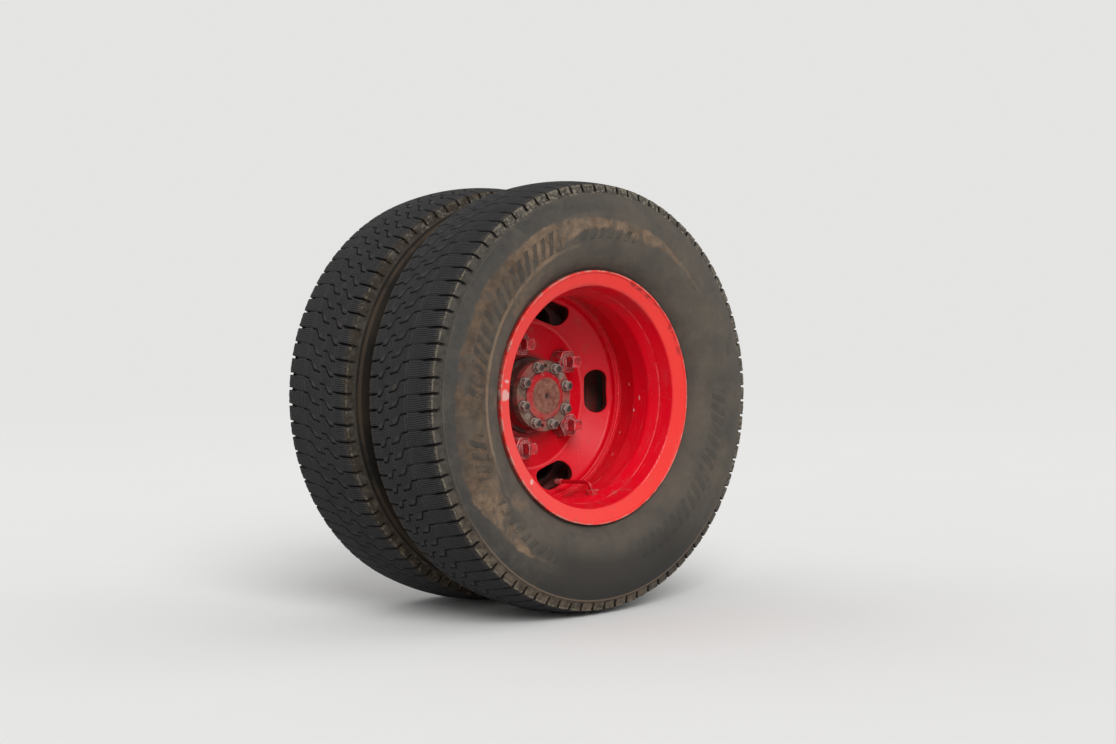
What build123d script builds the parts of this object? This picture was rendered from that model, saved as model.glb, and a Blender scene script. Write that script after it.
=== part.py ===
from build123d import *
import math
import os

os.makedirs("parts", exist_ok=True)

# Twin rear wheel of a small truck chassis, with its hub, brake drum and half shaft on the axle end.
# Millimetres. The wheels turn about Y, their outer face looks along -Y, and +Z is up.
# The origin is on the axle's centre line, in the plane of the axle tube's weld face.
# Round pieces are drawn as half sections: the sketch's X is the radius, its Y is the place along the axle.

# Driving dimensions: rim
SEAT_RADIUS = 222.25
SEAT_TAPER_DEG = 15.0
SEAT_LENGTH = 34.0
RIM_WIDTH = 152.4
FLANGE_HEIGHT = 12.75
FLANGE_THICKNESS = 11.8
HEEL_ROUND = 5.0
EDGE_BEAD_WIDTH = 5.0
EDGE_BEAD_HEIGHT = 1.0
LIP_WIDTH = 29.0
LIP_DEPTH = 11.0
RIDGE_DROP = 24.25
RIDGE_DEPTH = 39.0
WELL_DROP = 33.25
WELL_START_DEPTH = 60.0
WELL_END_DEPTH = 100.0
WELL_WALL = 7.0
DISC_LAND_DROP = 20.25
DISC_LAND_LENGTH = 17.0

# Driving dimensions: disc, stud pattern and hand holes
DISC_THICKNESS = 14.0
DISC_FLAT_MARGIN = 37.0
DISC_CREASE_ROUND = 10.0
SKIRT_THICKNESS = 9.0
SKIRT_SET_IN = 9.0
SKIRT_STRAIGHT = 10.0
WELD_BEAD = 6.0
WELD_BEAD_RISE = 5.0
WELD_BEAD_CREST = 4.0
WELD_FIT = 0.1
STUD_COUNT = 5
STUD_CIRCLE_RADIUS = 104.0
STUD_START_DEG = 36.0
HAND_HOLE_LENGTH = 84.0
HAND_HOLE_CREASE_MARGIN = 5.0
HAND_HOLE_SKIRT_MARGIN = 9.0
HAND_HOLE_CUT = 90.0
HAND_HOLE_CHAMFER = 1.5

# Driving dimensions: tyre
TYRE_RADIUS = 402.5
CROWN_DROP = 9.5
TREAD_WIDTH = 176.0
TREAD_THICKNESS = 24.0
SHOULDER_DROP = 15.0
SHOULDER_FLARE = 5.5
SHOULDER_WALL = 20.8
SHOULDER_WALL_DROP = 6.5
SECTION_WIDTH = 226.0
SECTION_RISE = 83.0
SIDEWALL_THICKNESS = 13.0
FOOT_RISE = 17.0
FOOT_FLARE = 20.8
BEAD_WIDTH = 24.0
BEAD_FIT = 0.3
FLANGE_GAP = 1.0
TWIN_GAP = 24.0

# Driving dimensions: nuts and studs
STUD_RADIUS = 10.0
STUD_KNURL_RADIUS = 11.0
STUD_HEAD_RADIUS = 15.0
STUD_HEAD_LENGTH = 8.0
STUD_REACH = 28.0
CAP_NUT_RADIUS = 15.0
CAP_NUT_REACH = 46.0
CAP_SQUARE = 20.0
CAP_SQUARE_ROUND = 2.0
CAP_SQUARE_LENGTH = 20.0
CAP_BORE_END_GAP = 2.0
HEX_FLATS = 41.0
HEX_NUT_REACH = 41.0
NUT_HOLE_RADIUS = 16.25
BALL_RADIUS = 22.0
BALL_MOUTH_RADIUS = 20.5
BALL_FIT = 0.2
THREAD_FIT = 0.1
CROWN_DEG = 30.0
CROWN_FACE_SHARE = 0.95

# Driving dimensions: hub
MATE_TO_WELD_FACE = 287.0
PILOT_RADIUS = 72.7
PILOT_FIT = 0.3
HUB_NOSE_LENGTH = 49.0
HUB_NOSE_RIM = 18.0
HUB_NECK_RADIUS = 63.0
HUB_NECK_LENGTH = 12.0
HUB_FLANGE_MARGIN = 30.0
HUB_FLANGE_THICKNESS = 18.0
HUB_BARREL_RADIUS = 80.0
HUB_BARREL_LENGTH = 80.0
HUB_CAVITY_RADIUS = 52.0
NOSE_BORE_RADIUS = 44.0
NOSE_BORE_LENGTH = 22.0
OUTER_LAND_LENGTH = 20.0
INNER_LAND_LENGTH = 28.0
SEAL_BORE_LENGTH = 12.0
JOURNAL_FIT = 0.05

# Driving dimensions: half shaft and its splined end
SHAFT_FLANGE_RADIUS = 68.0
SHAFT_FLANGE_THICKNESS = 14.0
SHAFT_BOSS_RADIUS = 46.0
SHAFT_BOSS_STEP = 1.5
SHAFT_BOSS_TOP_RADIUS = 31.0
SHAFT_BOSS_HEIGHT = 8.0
SHAFT_RADIUS = 20.0
SHAFT_LENGTH = 743.0
SHAFT_ROOT_RADIUS = 26.0
SPLINE_RADIUS = 19.0
SPLINE_LENGTH = 70.0
SPLINE_TEETH = 20
SPLINE_DEPTH = 2.2
SPLINE_GROOVE_TOP = 3.6
SPLINE_GROOVE_FLOOR = 1.9
SPLINE_RUN_OUT = 5.0
CENTRE_DRILL_RADIUS = 4.5
CENTRE_DRILL_DEPTH = 6.0

# Driving dimensions: the eight flange nuts, the jacking holes and the dowels
FLANGE_NUT_COUNT = 8
FLANGE_NUT_CIRCLE = 57.0
FLANGE_NUT_START_DEG = 17.0
FLANGE_STUD_RADIUS = 6.0
FLANGE_STUD_DEPTH = 14.0
FLANGE_STUD_TIP = 4.0
FLANGE_NUT_FLATS = 17.0
FLANGE_NUT_HEIGHT = 9.0
FLANGE_WASHER_RADIUS = 10.0
FLANGE_WASHER_THICKNESS = 2.5
FLANGE_HOLE_FIT = 0.4
JACK_HOLE_RADIUS = 4.2
JACK_HOLE_DEG = (84.5, 264.5)
DOWEL_RADIUS = 5.0
DOWEL_DEG = (39.5, 219.5)
DOWEL_LENGTH = 22.0
DOWEL_PROUD = 1.0

# Driving dimensions: brake drum
DRUM_TO_RIM = 13.0
DRUM_WALL = 12.0
DRUM_RIB_HEIGHT = 4.0
DRUM_RIB_WIDTH = 8.0
DRUM_WEB = 10.0
DRUM_WEB_MARGIN = 22.0
DRUM_SHOULDER_RISE = 34.0
DRUM_SHOULDER_DROP = 6.0
DRUM_SEAT_MARGIN = 2.0
DRUM_STUD_HOLE_RADIUS = 12.0

# Driving dimensions: axle end
OUTER_JOURNAL_RADIUS = 32.5
INNER_JOURNAL_RADIUS = 37.5
JOURNAL_OVERRUN = 4.0
SPINDLE_BORE_RADIUS = 25.0
SPINDLE_TIP_GAP = 8.0
SEAL_LAND_RADIUS = 45.0
SEAL_LAND_GAP = 6.0
SEAL_LAND_RUN_OUT = 6.0
SPINDLE_ROOT_RADIUS = 62.0
SPINDLE_ROOT_LENGTH = 12.0
AXLE_TUBE_RADIUS = 57.0
AXLE_TUBE_WALL = 10.0
AXLE_TUBE_BORE_DEPTH = 50.0
AXLE_TUBE_BORE_TAPER = 16.0
BRAKE_FLANGE_THICKNESS = 14.0
BRAKE_FLANGE_TO_WELD_FACE = 86.0

# Driving dimensions: backing plate, wheel cylinders and brake pipe
PLATE_THICKNESS = 4.0
PLATE_STEP_RADIUS = 132.0
PLATE_STEP = 8.0
PLATE_RIM_GAP = 6.0
PLATE_RIM_DEPTH = 14.0
PLATE_FIT = 0.2
PLATE_TO_DRUM = 5.0
CYLINDER_INSET = 20.0
CYLINDER_LENGTH = 72.0
CYLINDER_HEIGHT = 32.0
CYLINDER_ROUND = 12.0
CYLINDER_TO_FLANGE = 1.0
CYLINDER_THICKNESS = 10.0
UNION_RADIUS = 9.0
UNION_HEIGHT = 16.0
PORT_BOSS_HEIGHT = 8.0
PORT_RADIUS = 5.0
PORT_DEPTH = 14.0
PORT_SPACING = 22.0
PIPE_NUT_FLATS = 11.0
PIPE_NUT_REACH = 20.0
BLEEDER_FLATS = 8.0
BLEEDER_HEX_HEIGHT = 10.0
BLEEDER_NIPPLE_RADIUS = 3.2
BLEEDER_HEIGHT = 22.0
PIPE_RADIUS = 2.4
PIPE_INSET = 66.0
PIPE_BEND = 50.0

# Driving dimensions: tyre valves
VALVE_DEPTH = 65.0
VALVE_BASE_RADIUS = 8.0
VALVE_BASE_FIT = 0.1
VALVE_NUT_RADIUS = 10.0
VALVE_NUT_HEIGHT = 8.0
VALVE_NUT_SEAT = 0.5
VALVE_HEAD = 3.0
VALVE_STEM_RADIUS = 3.6
VALVE_STEM_SINK = 1.0
VALVE_CAP_RADIUS = 5.0
VALVE_CAP_LENGTH = 16.0
VALVE_CAP_DEPTH = 160.0
VALVE_BEND = 10.0

# Corner rounds that many pieces share, and how far a cutter runs past the face it opens
SHARP = 0.0
EDGE_BREAK = 1.0
SMALL_ROUND = 1.5
EDGE_ROUND = 2.0
CAST_ROUND = 4.0
PRESS_ROUND = 8.0
BROAD_ROUND = 14.0
TIP_CHAMFER = 2.0
OVERRUN = 1.0

# Radii worked out from the values above
SEAT_SLOPE = math.tan(math.radians(SEAT_TAPER_DEG))
FLANGE_RADIUS = SEAT_RADIUS + FLANGE_HEIGHT
LIP_INNER_RADIUS = FLANGE_RADIUS - LIP_WIDTH
RIDGE_RADIUS = SEAT_RADIUS - RIDGE_DROP
WELL_INNER_RADIUS = SEAT_RADIUS - WELL_DROP
DISC_LAND_RADIUS = SEAT_RADIUS - DISC_LAND_DROP
DISC_FLAT_RADIUS = STUD_CIRCLE_RADIUS + DISC_FLAT_MARGIN
SKIRT_OUTER_RADIUS = DISC_LAND_RADIUS - WELD_FIT
SKIRT_INNER_RADIUS = SKIRT_OUTER_RADIUS - SKIRT_THICKNESS
HAND_HOLE_INNER_RADIUS = DISC_FLAT_RADIUS + HAND_HOLE_CREASE_MARGIN
HAND_HOLE_WIDTH = SKIRT_INNER_RADIUS - HAND_HOLE_SKIRT_MARGIN - HAND_HOLE_INNER_RADIUS
HAND_HOLE_RADIUS = HAND_HOLE_INNER_RADIUS + HAND_HOLE_WIDTH / 2
HUB_FLANGE_RADIUS = STUD_CIRCLE_RADIUS + HUB_FLANGE_MARGIN
DRUM_WEB_RADIUS = STUD_CIRCLE_RADIUS + DRUM_WEB_MARGIN
TREAD_EDGE_RADIUS = TYRE_RADIUS - CROWN_DROP
SHOULDER_RADIUS = TREAD_EDGE_RADIUS - SHOULDER_DROP
SECTION_RADIUS = FLANGE_RADIUS + SECTION_RISE
FOOT_RADIUS = FLANGE_RADIUS + FOOT_RISE
DRUM_RIB_RADIUS = WELL_INNER_RADIUS - DRUM_TO_RIM
DRUM_RADIUS = DRUM_RIB_RADIUS - DRUM_RIB_HEIGHT
DRUM_BORE_RADIUS = DRUM_RADIUS - DRUM_WALL
PLATE_RIM_INNER = DRUM_RIB_RADIUS + PLATE_RIM_GAP
CYLINDER_RADIUS = PLATE_STEP_RADIUS - CYLINDER_INSET
BRAKE_FLANGE_RADIUS = CYLINDER_RADIUS - CYLINDER_HEIGHT / 2 - CYLINDER_TO_FLANGE
PIPE_REACH = PLATE_RIM_INNER + PLATE_THICKNESS - PIPE_INSET

# Places along the axle, worked out from the values above
RIM_HALF = RIM_WIDTH / 2 + FLANGE_THICKNESS
WHEEL_OFFSET = (SECTION_WIDTH + TWIN_GAP) / 2
DISC_LAND_DEPTH = 2 * RIM_HALF - LIP_DEPTH - DISC_LAND_LENGTH
SKIRT_EDGE_DEPTH = DISC_LAND_DEPTH + SKIRT_SET_IN
SKIRT_TOP = WHEEL_OFFSET + RIM_HALF - SKIRT_EDGE_DEPTH
CONE_RISE = SKIRT_TOP - SKIRT_STRAIGHT - DISC_THICKNESS
CONE_SLOPE = CONE_RISE / (SKIRT_INNER_RADIUS - DISC_FLAT_RADIUS)
BALL_CENTRE_OUT = math.sqrt(BALL_RADIUS**2 - BALL_MOUTH_RADIUS**2)
BALL_ROOT_IN = math.sqrt(BALL_RADIUS**2 - NUT_HOLE_RADIUS**2) - BALL_CENTRE_OUT - BALL_FIT
Y_MATE = -MATE_TO_WELD_FACE
Y_HUB_FACE = Y_MATE + DISC_THICKNESS + DRUM_WEB
Y_HUB_BACK = Y_HUB_FACE + HUB_FLANGE_THICKNESS
Y_HUB_END = Y_HUB_BACK + HUB_BARREL_LENGTH
Y_NOSE = Y_MATE - HUB_NOSE_LENGTH
Y_SHAFT_FACE = Y_NOSE - SHAFT_FLANGE_THICKNESS
Y_SPINDLE_TIP = Y_NOSE + SPINDLE_TIP_GAP
Y_OUTER_LAND = Y_NOSE + NOSE_BORE_LENGTH
Y_INNER_LAND_END = Y_HUB_END - SEAL_BORE_LENGTH
Y_INNER_LAND = Y_INNER_LAND_END - INNER_LAND_LENGTH
Y_FLANGE_BACK = -BRAKE_FLANGE_TO_WELD_FACE
Y_FLANGE_FACE = Y_FLANGE_BACK - BRAKE_FLANGE_THICKNESS
Y_PLATE = Y_FLANGE_FACE - PLATE_THICKNESS
Y_DRUM_EDGE = Y_PLATE - PLATE_TO_DRUM
Y_CYLINDER_TOP = Y_FLANGE_FACE + PLATE_FIT + CYLINDER_THICKNESS
Y_PIPE = Y_CYLINDER_TOP + UNION_HEIGHT / 2

# Each wheel: its name, the way its disc is open (-1 outboard, +1 inboard), the angle of its valve,
# how far under the well the valve's stem turns along the barrel, and how far under it the stem's tip lies
WHEELS = (
    ("outer", -1, -78.0, 23.0, 19.0),
    ("inner", 1, 144.0, 4.5, 8.0),
)


def turned(outline):
    """Solid of revolution about the axle from a closed outline of (radius, place) points."""
    return revolve(make_face(outline.edges()), Axis.Y)


def profile(points):
    """Closed outline from (radius, place, corner radius) rows."""
    corners = [(r, y) for r, y, _ in points]
    rounds = [bend for _, _, bend in points]
    return FilletPolyline(*corners, radius=rounds, close=True)


def wheel_place(side, depth):
    """Place along the axle of a depth measured from the rim's open edge."""
    return Y_MATE + side * (WHEEL_OFFSET + RIM_HALF - depth)


def outboard_plane(y):
    """Sketch plane across the axle that faces outboard."""
    return Plane((0, y, 0), x_dir=(1, 0, 0), z_dir=(0, -1, 0))


def around(radius, degrees):
    """Location on a circle about the axle."""
    angle = math.radians(degrees)
    return Location((radius * math.cos(angle), 0, radius * math.sin(angle)))


def stud_angles():
    return [STUD_START_DEG + 360 / STUD_COUNT * i for i in range(STUD_COUNT)]


def flange_nut_angles():
    return [FLANGE_NUT_START_DEG + 360 / FLANGE_NUT_COUNT * i for i in range(FLANGE_NUT_COUNT)]


def inboard_plane(y):
    """Sketch plane across the axle that faces inboard."""
    return Plane((0, y, 0), x_dir=(1, 0, 0), z_dir=(0, 1, 0))


def rod(radius, y_start, y_end):
    """Round bar along the axle between two places."""
    return turned(Polyline((0, y_start), (radius, y_start), (radius, y_end), (0, y_end), close=True))


def crowned_bar(outline, flats, corner_radius, y_start, length):
    """Bar of a hexagon or square outline that reaches outboard, with the corners of its end turned off."""
    y_end = y_start - length
    face_radius = CROWN_FACE_SHARE * flats / 2
    drop = (corner_radius - face_radius) * math.tan(math.radians(CROWN_DEG))
    envelope = turned(
        Polyline(
            (0, y_start),
            (corner_radius, y_start),
            (corner_radius, y_end + drop),
            (face_radius, y_end),
            (0, y_end),
            close=True,
        )
    )
    return extrude(outboard_plane(y_start) * outline, length) & envelope


def hex_bar(flats, y_start, length):
    """Hexagon bar that reaches outboard from a place, crowned at its end."""
    corner_radius = flats / math.sqrt(3)
    return crowned_bar(RegularPolygon(corner_radius, 6), flats, corner_radius, y_start, length)


# Rim


def rim(side):
    """Drop-centre rim with tapered bead seats, a broad rounded lip and a fine bead round its edge."""
    seat_end = SEAT_RADIUS - SEAT_LENGTH * SEAT_SLOPE
    seat_foot = FLANGE_THICKNESS + SEAT_LENGTH
    well_outer = WELL_INNER_RADIUS + WELL_WALL
    full = 2 * RIM_HALF
    bead_depth = LIP_DEPTH * EDGE_BEAD_WIDTH / LIP_WIDTH
    rows = (
        (LIP_INNER_RADIUS, LIP_DEPTH, CAST_ROUND),
        (FLANGE_RADIUS - EDGE_BEAD_WIDTH, bead_depth + EDGE_BEAD_HEIGHT, EDGE_BREAK),
        (FLANGE_RADIUS - EDGE_BEAD_WIDTH + EDGE_BEAD_HEIGHT, bead_depth - EDGE_BEAD_HEIGHT, EDGE_BREAK),
        (FLANGE_RADIUS, 0, SMALL_ROUND),
        (FLANGE_RADIUS, FLANGE_THICKNESS, EDGE_ROUND),
        (SEAT_RADIUS, FLANGE_THICKNESS, HEEL_ROUND),
        (seat_end, seat_foot, CAST_ROUND),
        (well_outer, WELL_START_DEPTH, PRESS_ROUND),
        (well_outer, WELL_END_DEPTH, PRESS_ROUND),
        (seat_end, full - seat_foot, CAST_ROUND),
        (SEAT_RADIUS, full - FLANGE_THICKNESS, HEEL_ROUND),
        (FLANGE_RADIUS, full - FLANGE_THICKNESS, EDGE_ROUND),
        (FLANGE_RADIUS, full, EDGE_ROUND),
        (DISC_LAND_RADIUS, full - LIP_DEPTH, CAST_ROUND),
        (DISC_LAND_RADIUS, DISC_LAND_DEPTH, CAST_ROUND),
        (WELL_INNER_RADIUS, WELL_END_DEPTH, PRESS_ROUND),
        (WELL_INNER_RADIUS, WELL_START_DEPTH, BROAD_ROUND),
        (RIDGE_RADIUS, RIDGE_DEPTH, CAST_ROUND),
    )
    return turned(profile([(r, wheel_place(side, depth), bend) for r, depth, bend in rows]))


# Disc


def disc(side):
    """Pressed disc: flat centre, cone with hand holes and a skirt welded into the rim."""
    face = DISC_THICKNESS
    bore = PILOT_RADIUS + PILOT_FIT
    back_rise = (SKIRT_OUTER_RADIUS - DISC_FLAT_RADIUS) * CONE_SLOPE
    rows = (
        (bore, 0, SMALL_ROUND),
        (DISC_FLAT_RADIUS, 0, DISC_CREASE_ROUND + DISC_THICKNESS / 2),
        (SKIRT_OUTER_RADIUS, back_rise, BROAD_ROUND),
        (SKIRT_OUTER_RADIUS, SKIRT_TOP + WELD_BEAD_RISE, SHARP),
        (SKIRT_OUTER_RADIUS - WELD_BEAD / 2, SKIRT_TOP + WELD_BEAD_CREST, EDGE_ROUND),
        (SKIRT_OUTER_RADIUS - WELD_BEAD, SKIRT_TOP, SHARP),
        (SKIRT_INNER_RADIUS, SKIRT_TOP, SMALL_ROUND),
        (SKIRT_INNER_RADIUS, face + CONE_RISE, PRESS_ROUND),
        (DISC_FLAT_RADIUS, face, DISC_CREASE_ROUND),
        (bore, face, SMALL_ROUND),
    )
    body = turned(profile([(r, Y_MATE + side * s, bend) for r, s, bend in rows]))
    for angle in stud_angles():
        body -= around(STUD_CIRCLE_RADIUS, angle) * stud_hole(side)
    slot = outboard_plane(Y_MATE) * SlotOverall(HAND_HOLE_LENGTH, HAND_HOLE_WIDTH, 90)
    cutter = Location((HAND_HOLE_RADIUS, 0, 0)) * extrude(slot, HAND_HOLE_CUT, both=True)
    for angle in stud_angles():
        body -= Rotation(0, STUD_START_DEG - angle, 0) * cutter
    return chamfer(hand_hole_edges(body), HAND_HOLE_CHAMFER)


def hand_hole_edges(body):
    """Edges round the hand holes' mouths on both faces, the only bent ones out there that aren't circles."""
    bent = [e for e in body.edges() if e.geom_type not in (GeomType.LINE, GeomType.CIRCLE)]
    return [e for e in bent if math.hypot(e.center().X, e.center().Z) > HAND_HOLE_INNER_RADIUS - EDGE_BREAK]


def stud_hole(side):
    """Hole through the disc with a spherical seat on both faces."""
    y_far = Y_MATE + side * DISC_THICKNESS
    hole = rod(NUT_HOLE_RADIUS, min(Y_MATE, y_far) - OVERRUN, max(Y_MATE, y_far) + OVERRUN)
    near_ball = Location((0, Y_MATE - side * BALL_CENTRE_OUT, 0)) * Sphere(BALL_RADIUS)
    far_ball = Location((0, y_far + side * BALL_CENTRE_OUT, 0)) * Sphere(BALL_RADIUS)
    return hole + near_ball + far_ball


# Tyre


def tyre(side):
    """Radial tyre as a hollow shell that sits on the bead seats."""
    centre = Y_MATE + side * WHEEL_OFFSET
    heel_out = RIM_WIDTH / 2 - BEAD_FIT
    heel = SEAT_RADIUS + BEAD_FIT
    toe = heel - BEAD_WIDTH * SEAT_SLOPE
    bevel = heel - HEEL_ROUND * SEAT_SLOPE
    half_tread = TREAD_WIDTH / 2
    half_section = SECTION_WIDTH / 2
    shoulder_out = half_tread + SHOULDER_FLARE
    inner_crown = TYRE_RADIUS - TREAD_THICKNESS
    inner_shoulder = SHOULDER_RADIUS - SHOULDER_WALL_DROP
    inner_end = shoulder_out - SHOULDER_WALL
    flange_top = FLANGE_RADIUS + FLANGE_GAP
    foot_out = RIM_WIDTH / 2 + FOOT_FLARE
    foot_in = foot_out - SIDEWALL_THICKNESS
    wall_in = half_section - SIDEWALL_THICKNESS
    edges = [
        ThreePointArc((TREAD_EDGE_RADIUS, -half_tread), (TYRE_RADIUS, 0), (TREAD_EDGE_RADIUS, half_tread)),
        ThreePointArc((inner_shoulder, -inner_end), (inner_crown, 0), (inner_shoulder, inner_end)),
    ]
    for way in (1, -1):
        outer_wall = ThreePointArc(
            (SHOULDER_RADIUS, way * shoulder_out),
            (SECTION_RADIUS, way * half_section),
            (FOOT_RADIUS, way * foot_out),
        )
        inner_wall = ThreePointArc(
            (FOOT_RADIUS, way * foot_in),
            (SECTION_RADIUS, way * wall_in),
            (inner_shoulder, way * inner_end),
        )
        bead = Polyline(
            (FOOT_RADIUS, way * foot_out),
            (flange_top, way * heel_out),
            (heel + HEEL_ROUND, way * heel_out),
            (bevel, way * (heel_out - HEEL_ROUND)),
            (toe, way * (heel_out - BEAD_WIDTH)),
            (FOOT_RADIUS, way * foot_in),
        )
        shoulder = Line((TREAD_EDGE_RADIUS, way * half_tread), (SHOULDER_RADIUS, way * shoulder_out))
        edges += [shoulder, outer_wall, *bead.edges(), inner_wall]
    section = make_face(Wire.combine(edges)[0].edges())
    return Location((0, centre, 0)) * revolve(section, Axis.Y)


# Wheel nuts and studs


def cap_nut():
    """Inner nut with a ball collar, a threaded body and a square end."""
    y_end = Y_MATE - CAP_NUT_REACH
    y_root = Y_MATE + BALL_ROOT_IN
    ball = Location((0, Y_MATE - BALL_CENTRE_OUT, 0)) * Sphere(BALL_RADIUS - BALL_FIT)
    blank = turned(
        Polyline(
            (0, y_root),
            (BALL_MOUTH_RADIUS, y_root),
            (BALL_MOUTH_RADIUS, Y_MATE),
            (CAP_NUT_RADIUS, Y_MATE - (BALL_MOUTH_RADIUS - CAP_NUT_RADIUS)),
            (CAP_NUT_RADIUS, y_end + TIP_CHAMFER),
            (CAP_NUT_RADIUS - TIP_CHAMFER, y_end),
            (0, y_end),
            close=True,
        )
    )
    collar = blank & (ball + rod(CAP_NUT_RADIUS, Y_MATE - BALL_CENTRE_OUT, y_end))
    corner_radius = CAP_SQUARE / math.sqrt(2)
    outline = RectangleRounded(CAP_SQUARE, CAP_SQUARE, CAP_SQUARE_ROUND)
    square = crowned_bar(outline, CAP_SQUARE, corner_radius, y_end, CAP_SQUARE_LENGTH)
    bore = rod(STUD_RADIUS + THREAD_FIT, y_root + OVERRUN, Y_MATE - STUD_REACH - CAP_BORE_END_GAP)
    return collar + square - bore


def hex_nut():
    """Outer nut with a ball seat, threaded over the inner nut."""
    y_face = Y_MATE - DISC_THICKNESS
    y_root = y_face + BALL_ROOT_IN
    y_seat = y_face - BALL_FIT
    y_end = Y_MATE - HEX_NUT_REACH
    ball = Location((0, y_face - BALL_CENTRE_OUT, 0)) * Sphere(BALL_RADIUS - BALL_FIT)
    seat = rod(BALL_MOUTH_RADIUS, y_root, y_seat) & ball
    head = hex_bar(HEX_FLATS, y_seat, y_seat - y_end)
    bore = rod(CAP_NUT_RADIUS + THREAD_FIT, y_root + OVERRUN, y_end - OVERRUN)
    return seat + head - bore


def wheel_stud():
    """Stud with a round head behind the hub flange and a knurled shank in it."""
    return (
        rod(STUD_HEAD_RADIUS, Y_HUB_BACK, Y_HUB_BACK + STUD_HEAD_LENGTH)
        + rod(STUD_KNURL_RADIUS, Y_HUB_BACK, Y_HUB_FACE)
        + rod(STUD_RADIUS, Y_HUB_FACE, Y_MATE - STUD_REACH)
    )


# Hub, drum and half shaft


def hub():
    """Hub with a nose for the half shaft, a pilot for the discs, a flange and a bearing barrel."""
    y_neck = Y_NOSE + HUB_NOSE_RIM
    y_pilot = y_neck + HUB_NECK_LENGTH
    cavity_start = Y_OUTER_LAND + OUTER_LAND_LENGTH
    outer_bore = OUTER_JOURNAL_RADIUS + JOURNAL_FIT
    inner_bore = INNER_JOURNAL_RADIUS + JOURNAL_FIT
    rows = (
        (SHAFT_FLANGE_RADIUS, Y_NOSE, SMALL_ROUND),
        (SHAFT_FLANGE_RADIUS, y_neck, EDGE_ROUND),
        (HUB_NECK_RADIUS, y_neck, EDGE_ROUND),
        (HUB_NECK_RADIUS, y_pilot, CAST_ROUND),
        (PILOT_RADIUS, y_pilot, EDGE_ROUND),
        (PILOT_RADIUS, Y_HUB_FACE, SHARP),
        (HUB_FLANGE_RADIUS, Y_HUB_FACE, EDGE_ROUND),
        (HUB_FLANGE_RADIUS, Y_HUB_BACK, EDGE_ROUND),
        (HUB_BARREL_RADIUS, Y_HUB_BACK, PRESS_ROUND),
        (HUB_BARREL_RADIUS, Y_HUB_END, EDGE_ROUND),
        (HUB_CAVITY_RADIUS, Y_HUB_END, EDGE_BREAK),
        (HUB_CAVITY_RADIUS, Y_INNER_LAND_END, SHARP),
        (inner_bore, Y_INNER_LAND_END, SHARP),
        (inner_bore, Y_INNER_LAND, SHARP),
        (HUB_CAVITY_RADIUS, Y_INNER_LAND, EDGE_ROUND),
        (HUB_CAVITY_RADIUS, cavity_start, EDGE_ROUND),
        (outer_bore, cavity_start, SHARP),
        (outer_bore, Y_OUTER_LAND, SHARP),
        (NOSE_BORE_RADIUS, Y_OUTER_LAND, EDGE_ROUND),
        (NOSE_BORE_RADIUS, Y_NOSE, EDGE_BREAK),
    )
    body = turned(profile(rows))
    stud_bore = rod(STUD_KNURL_RADIUS + THREAD_FIT, Y_HUB_FACE - OVERRUN, Y_HUB_BACK + OVERRUN)
    for angle in stud_angles():
        body -= around(STUD_CIRCLE_RADIUS, angle) * stud_bore
    flange_bore = rod(FLANGE_STUD_RADIUS + THREAD_FIT, Y_NOSE - OVERRUN, Y_NOSE + FLANGE_STUD_DEPTH + OVERRUN)
    for angle in flange_nut_angles():
        body -= around(FLANGE_NUT_CIRCLE, angle) * flange_bore
    dowel_end = Y_SHAFT_FACE - DOWEL_PROUD + DOWEL_LENGTH
    dowel_bore = rod(DOWEL_RADIUS + THREAD_FIT, Y_NOSE - OVERRUN, dowel_end + OVERRUN)
    for angle in DOWEL_DEG:
        body -= around(FLANGE_NUT_CIRCLE, angle) * dowel_bore
    return body


def brake_drum():
    """Cast drum with a flat web against the hub flange and two stiffening ribs."""
    web_back = Y_HUB_FACE
    web_front = Y_HUB_FACE - DRUM_WEB
    y_band = Y_HUB_FACE + DRUM_SHOULDER_RISE
    rib_edge = Y_DRUM_EDGE - DRUM_RIB_WIDTH
    rib_mid = (y_band + Y_DRUM_EDGE) / 2
    rows = (
        (PILOT_RADIUS + PILOT_FIT, web_front, EDGE_BREAK),
        (DRUM_WEB_RADIUS, web_front, PRESS_ROUND),
        (DRUM_RADIUS, y_band - DRUM_SHOULDER_DROP, BROAD_ROUND),
        (DRUM_RADIUS, rib_mid - DRUM_RIB_WIDTH / 2, EDGE_BREAK),
        (DRUM_RIB_RADIUS, rib_mid - DRUM_RIB_WIDTH / 2, EDGE_BREAK),
        (DRUM_RIB_RADIUS, rib_mid + DRUM_RIB_WIDTH / 2, EDGE_BREAK),
        (DRUM_RADIUS, rib_mid + DRUM_RIB_WIDTH / 2, EDGE_BREAK),
        (DRUM_RADIUS, rib_edge, EDGE_BREAK),
        (DRUM_RIB_RADIUS, rib_edge, EDGE_BREAK),
        (DRUM_RIB_RADIUS, Y_DRUM_EDGE, SMALL_ROUND),
        (DRUM_BORE_RADIUS, Y_DRUM_EDGE, SMALL_ROUND),
        (DRUM_BORE_RADIUS, y_band, PRESS_ROUND),
        (HUB_FLANGE_RADIUS + DRUM_SEAT_MARGIN, web_back, CAST_ROUND),
        (PILOT_RADIUS + PILOT_FIT, web_back, EDGE_BREAK),
    )
    body = turned(profile(rows))
    stud_bore = rod(DRUM_STUD_HOLE_RADIUS, web_front - OVERRUN, web_back + OVERRUN)
    for angle in stud_angles():
        body -= around(STUD_CIRCLE_RADIUS, angle) * stud_bore
    return body


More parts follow.
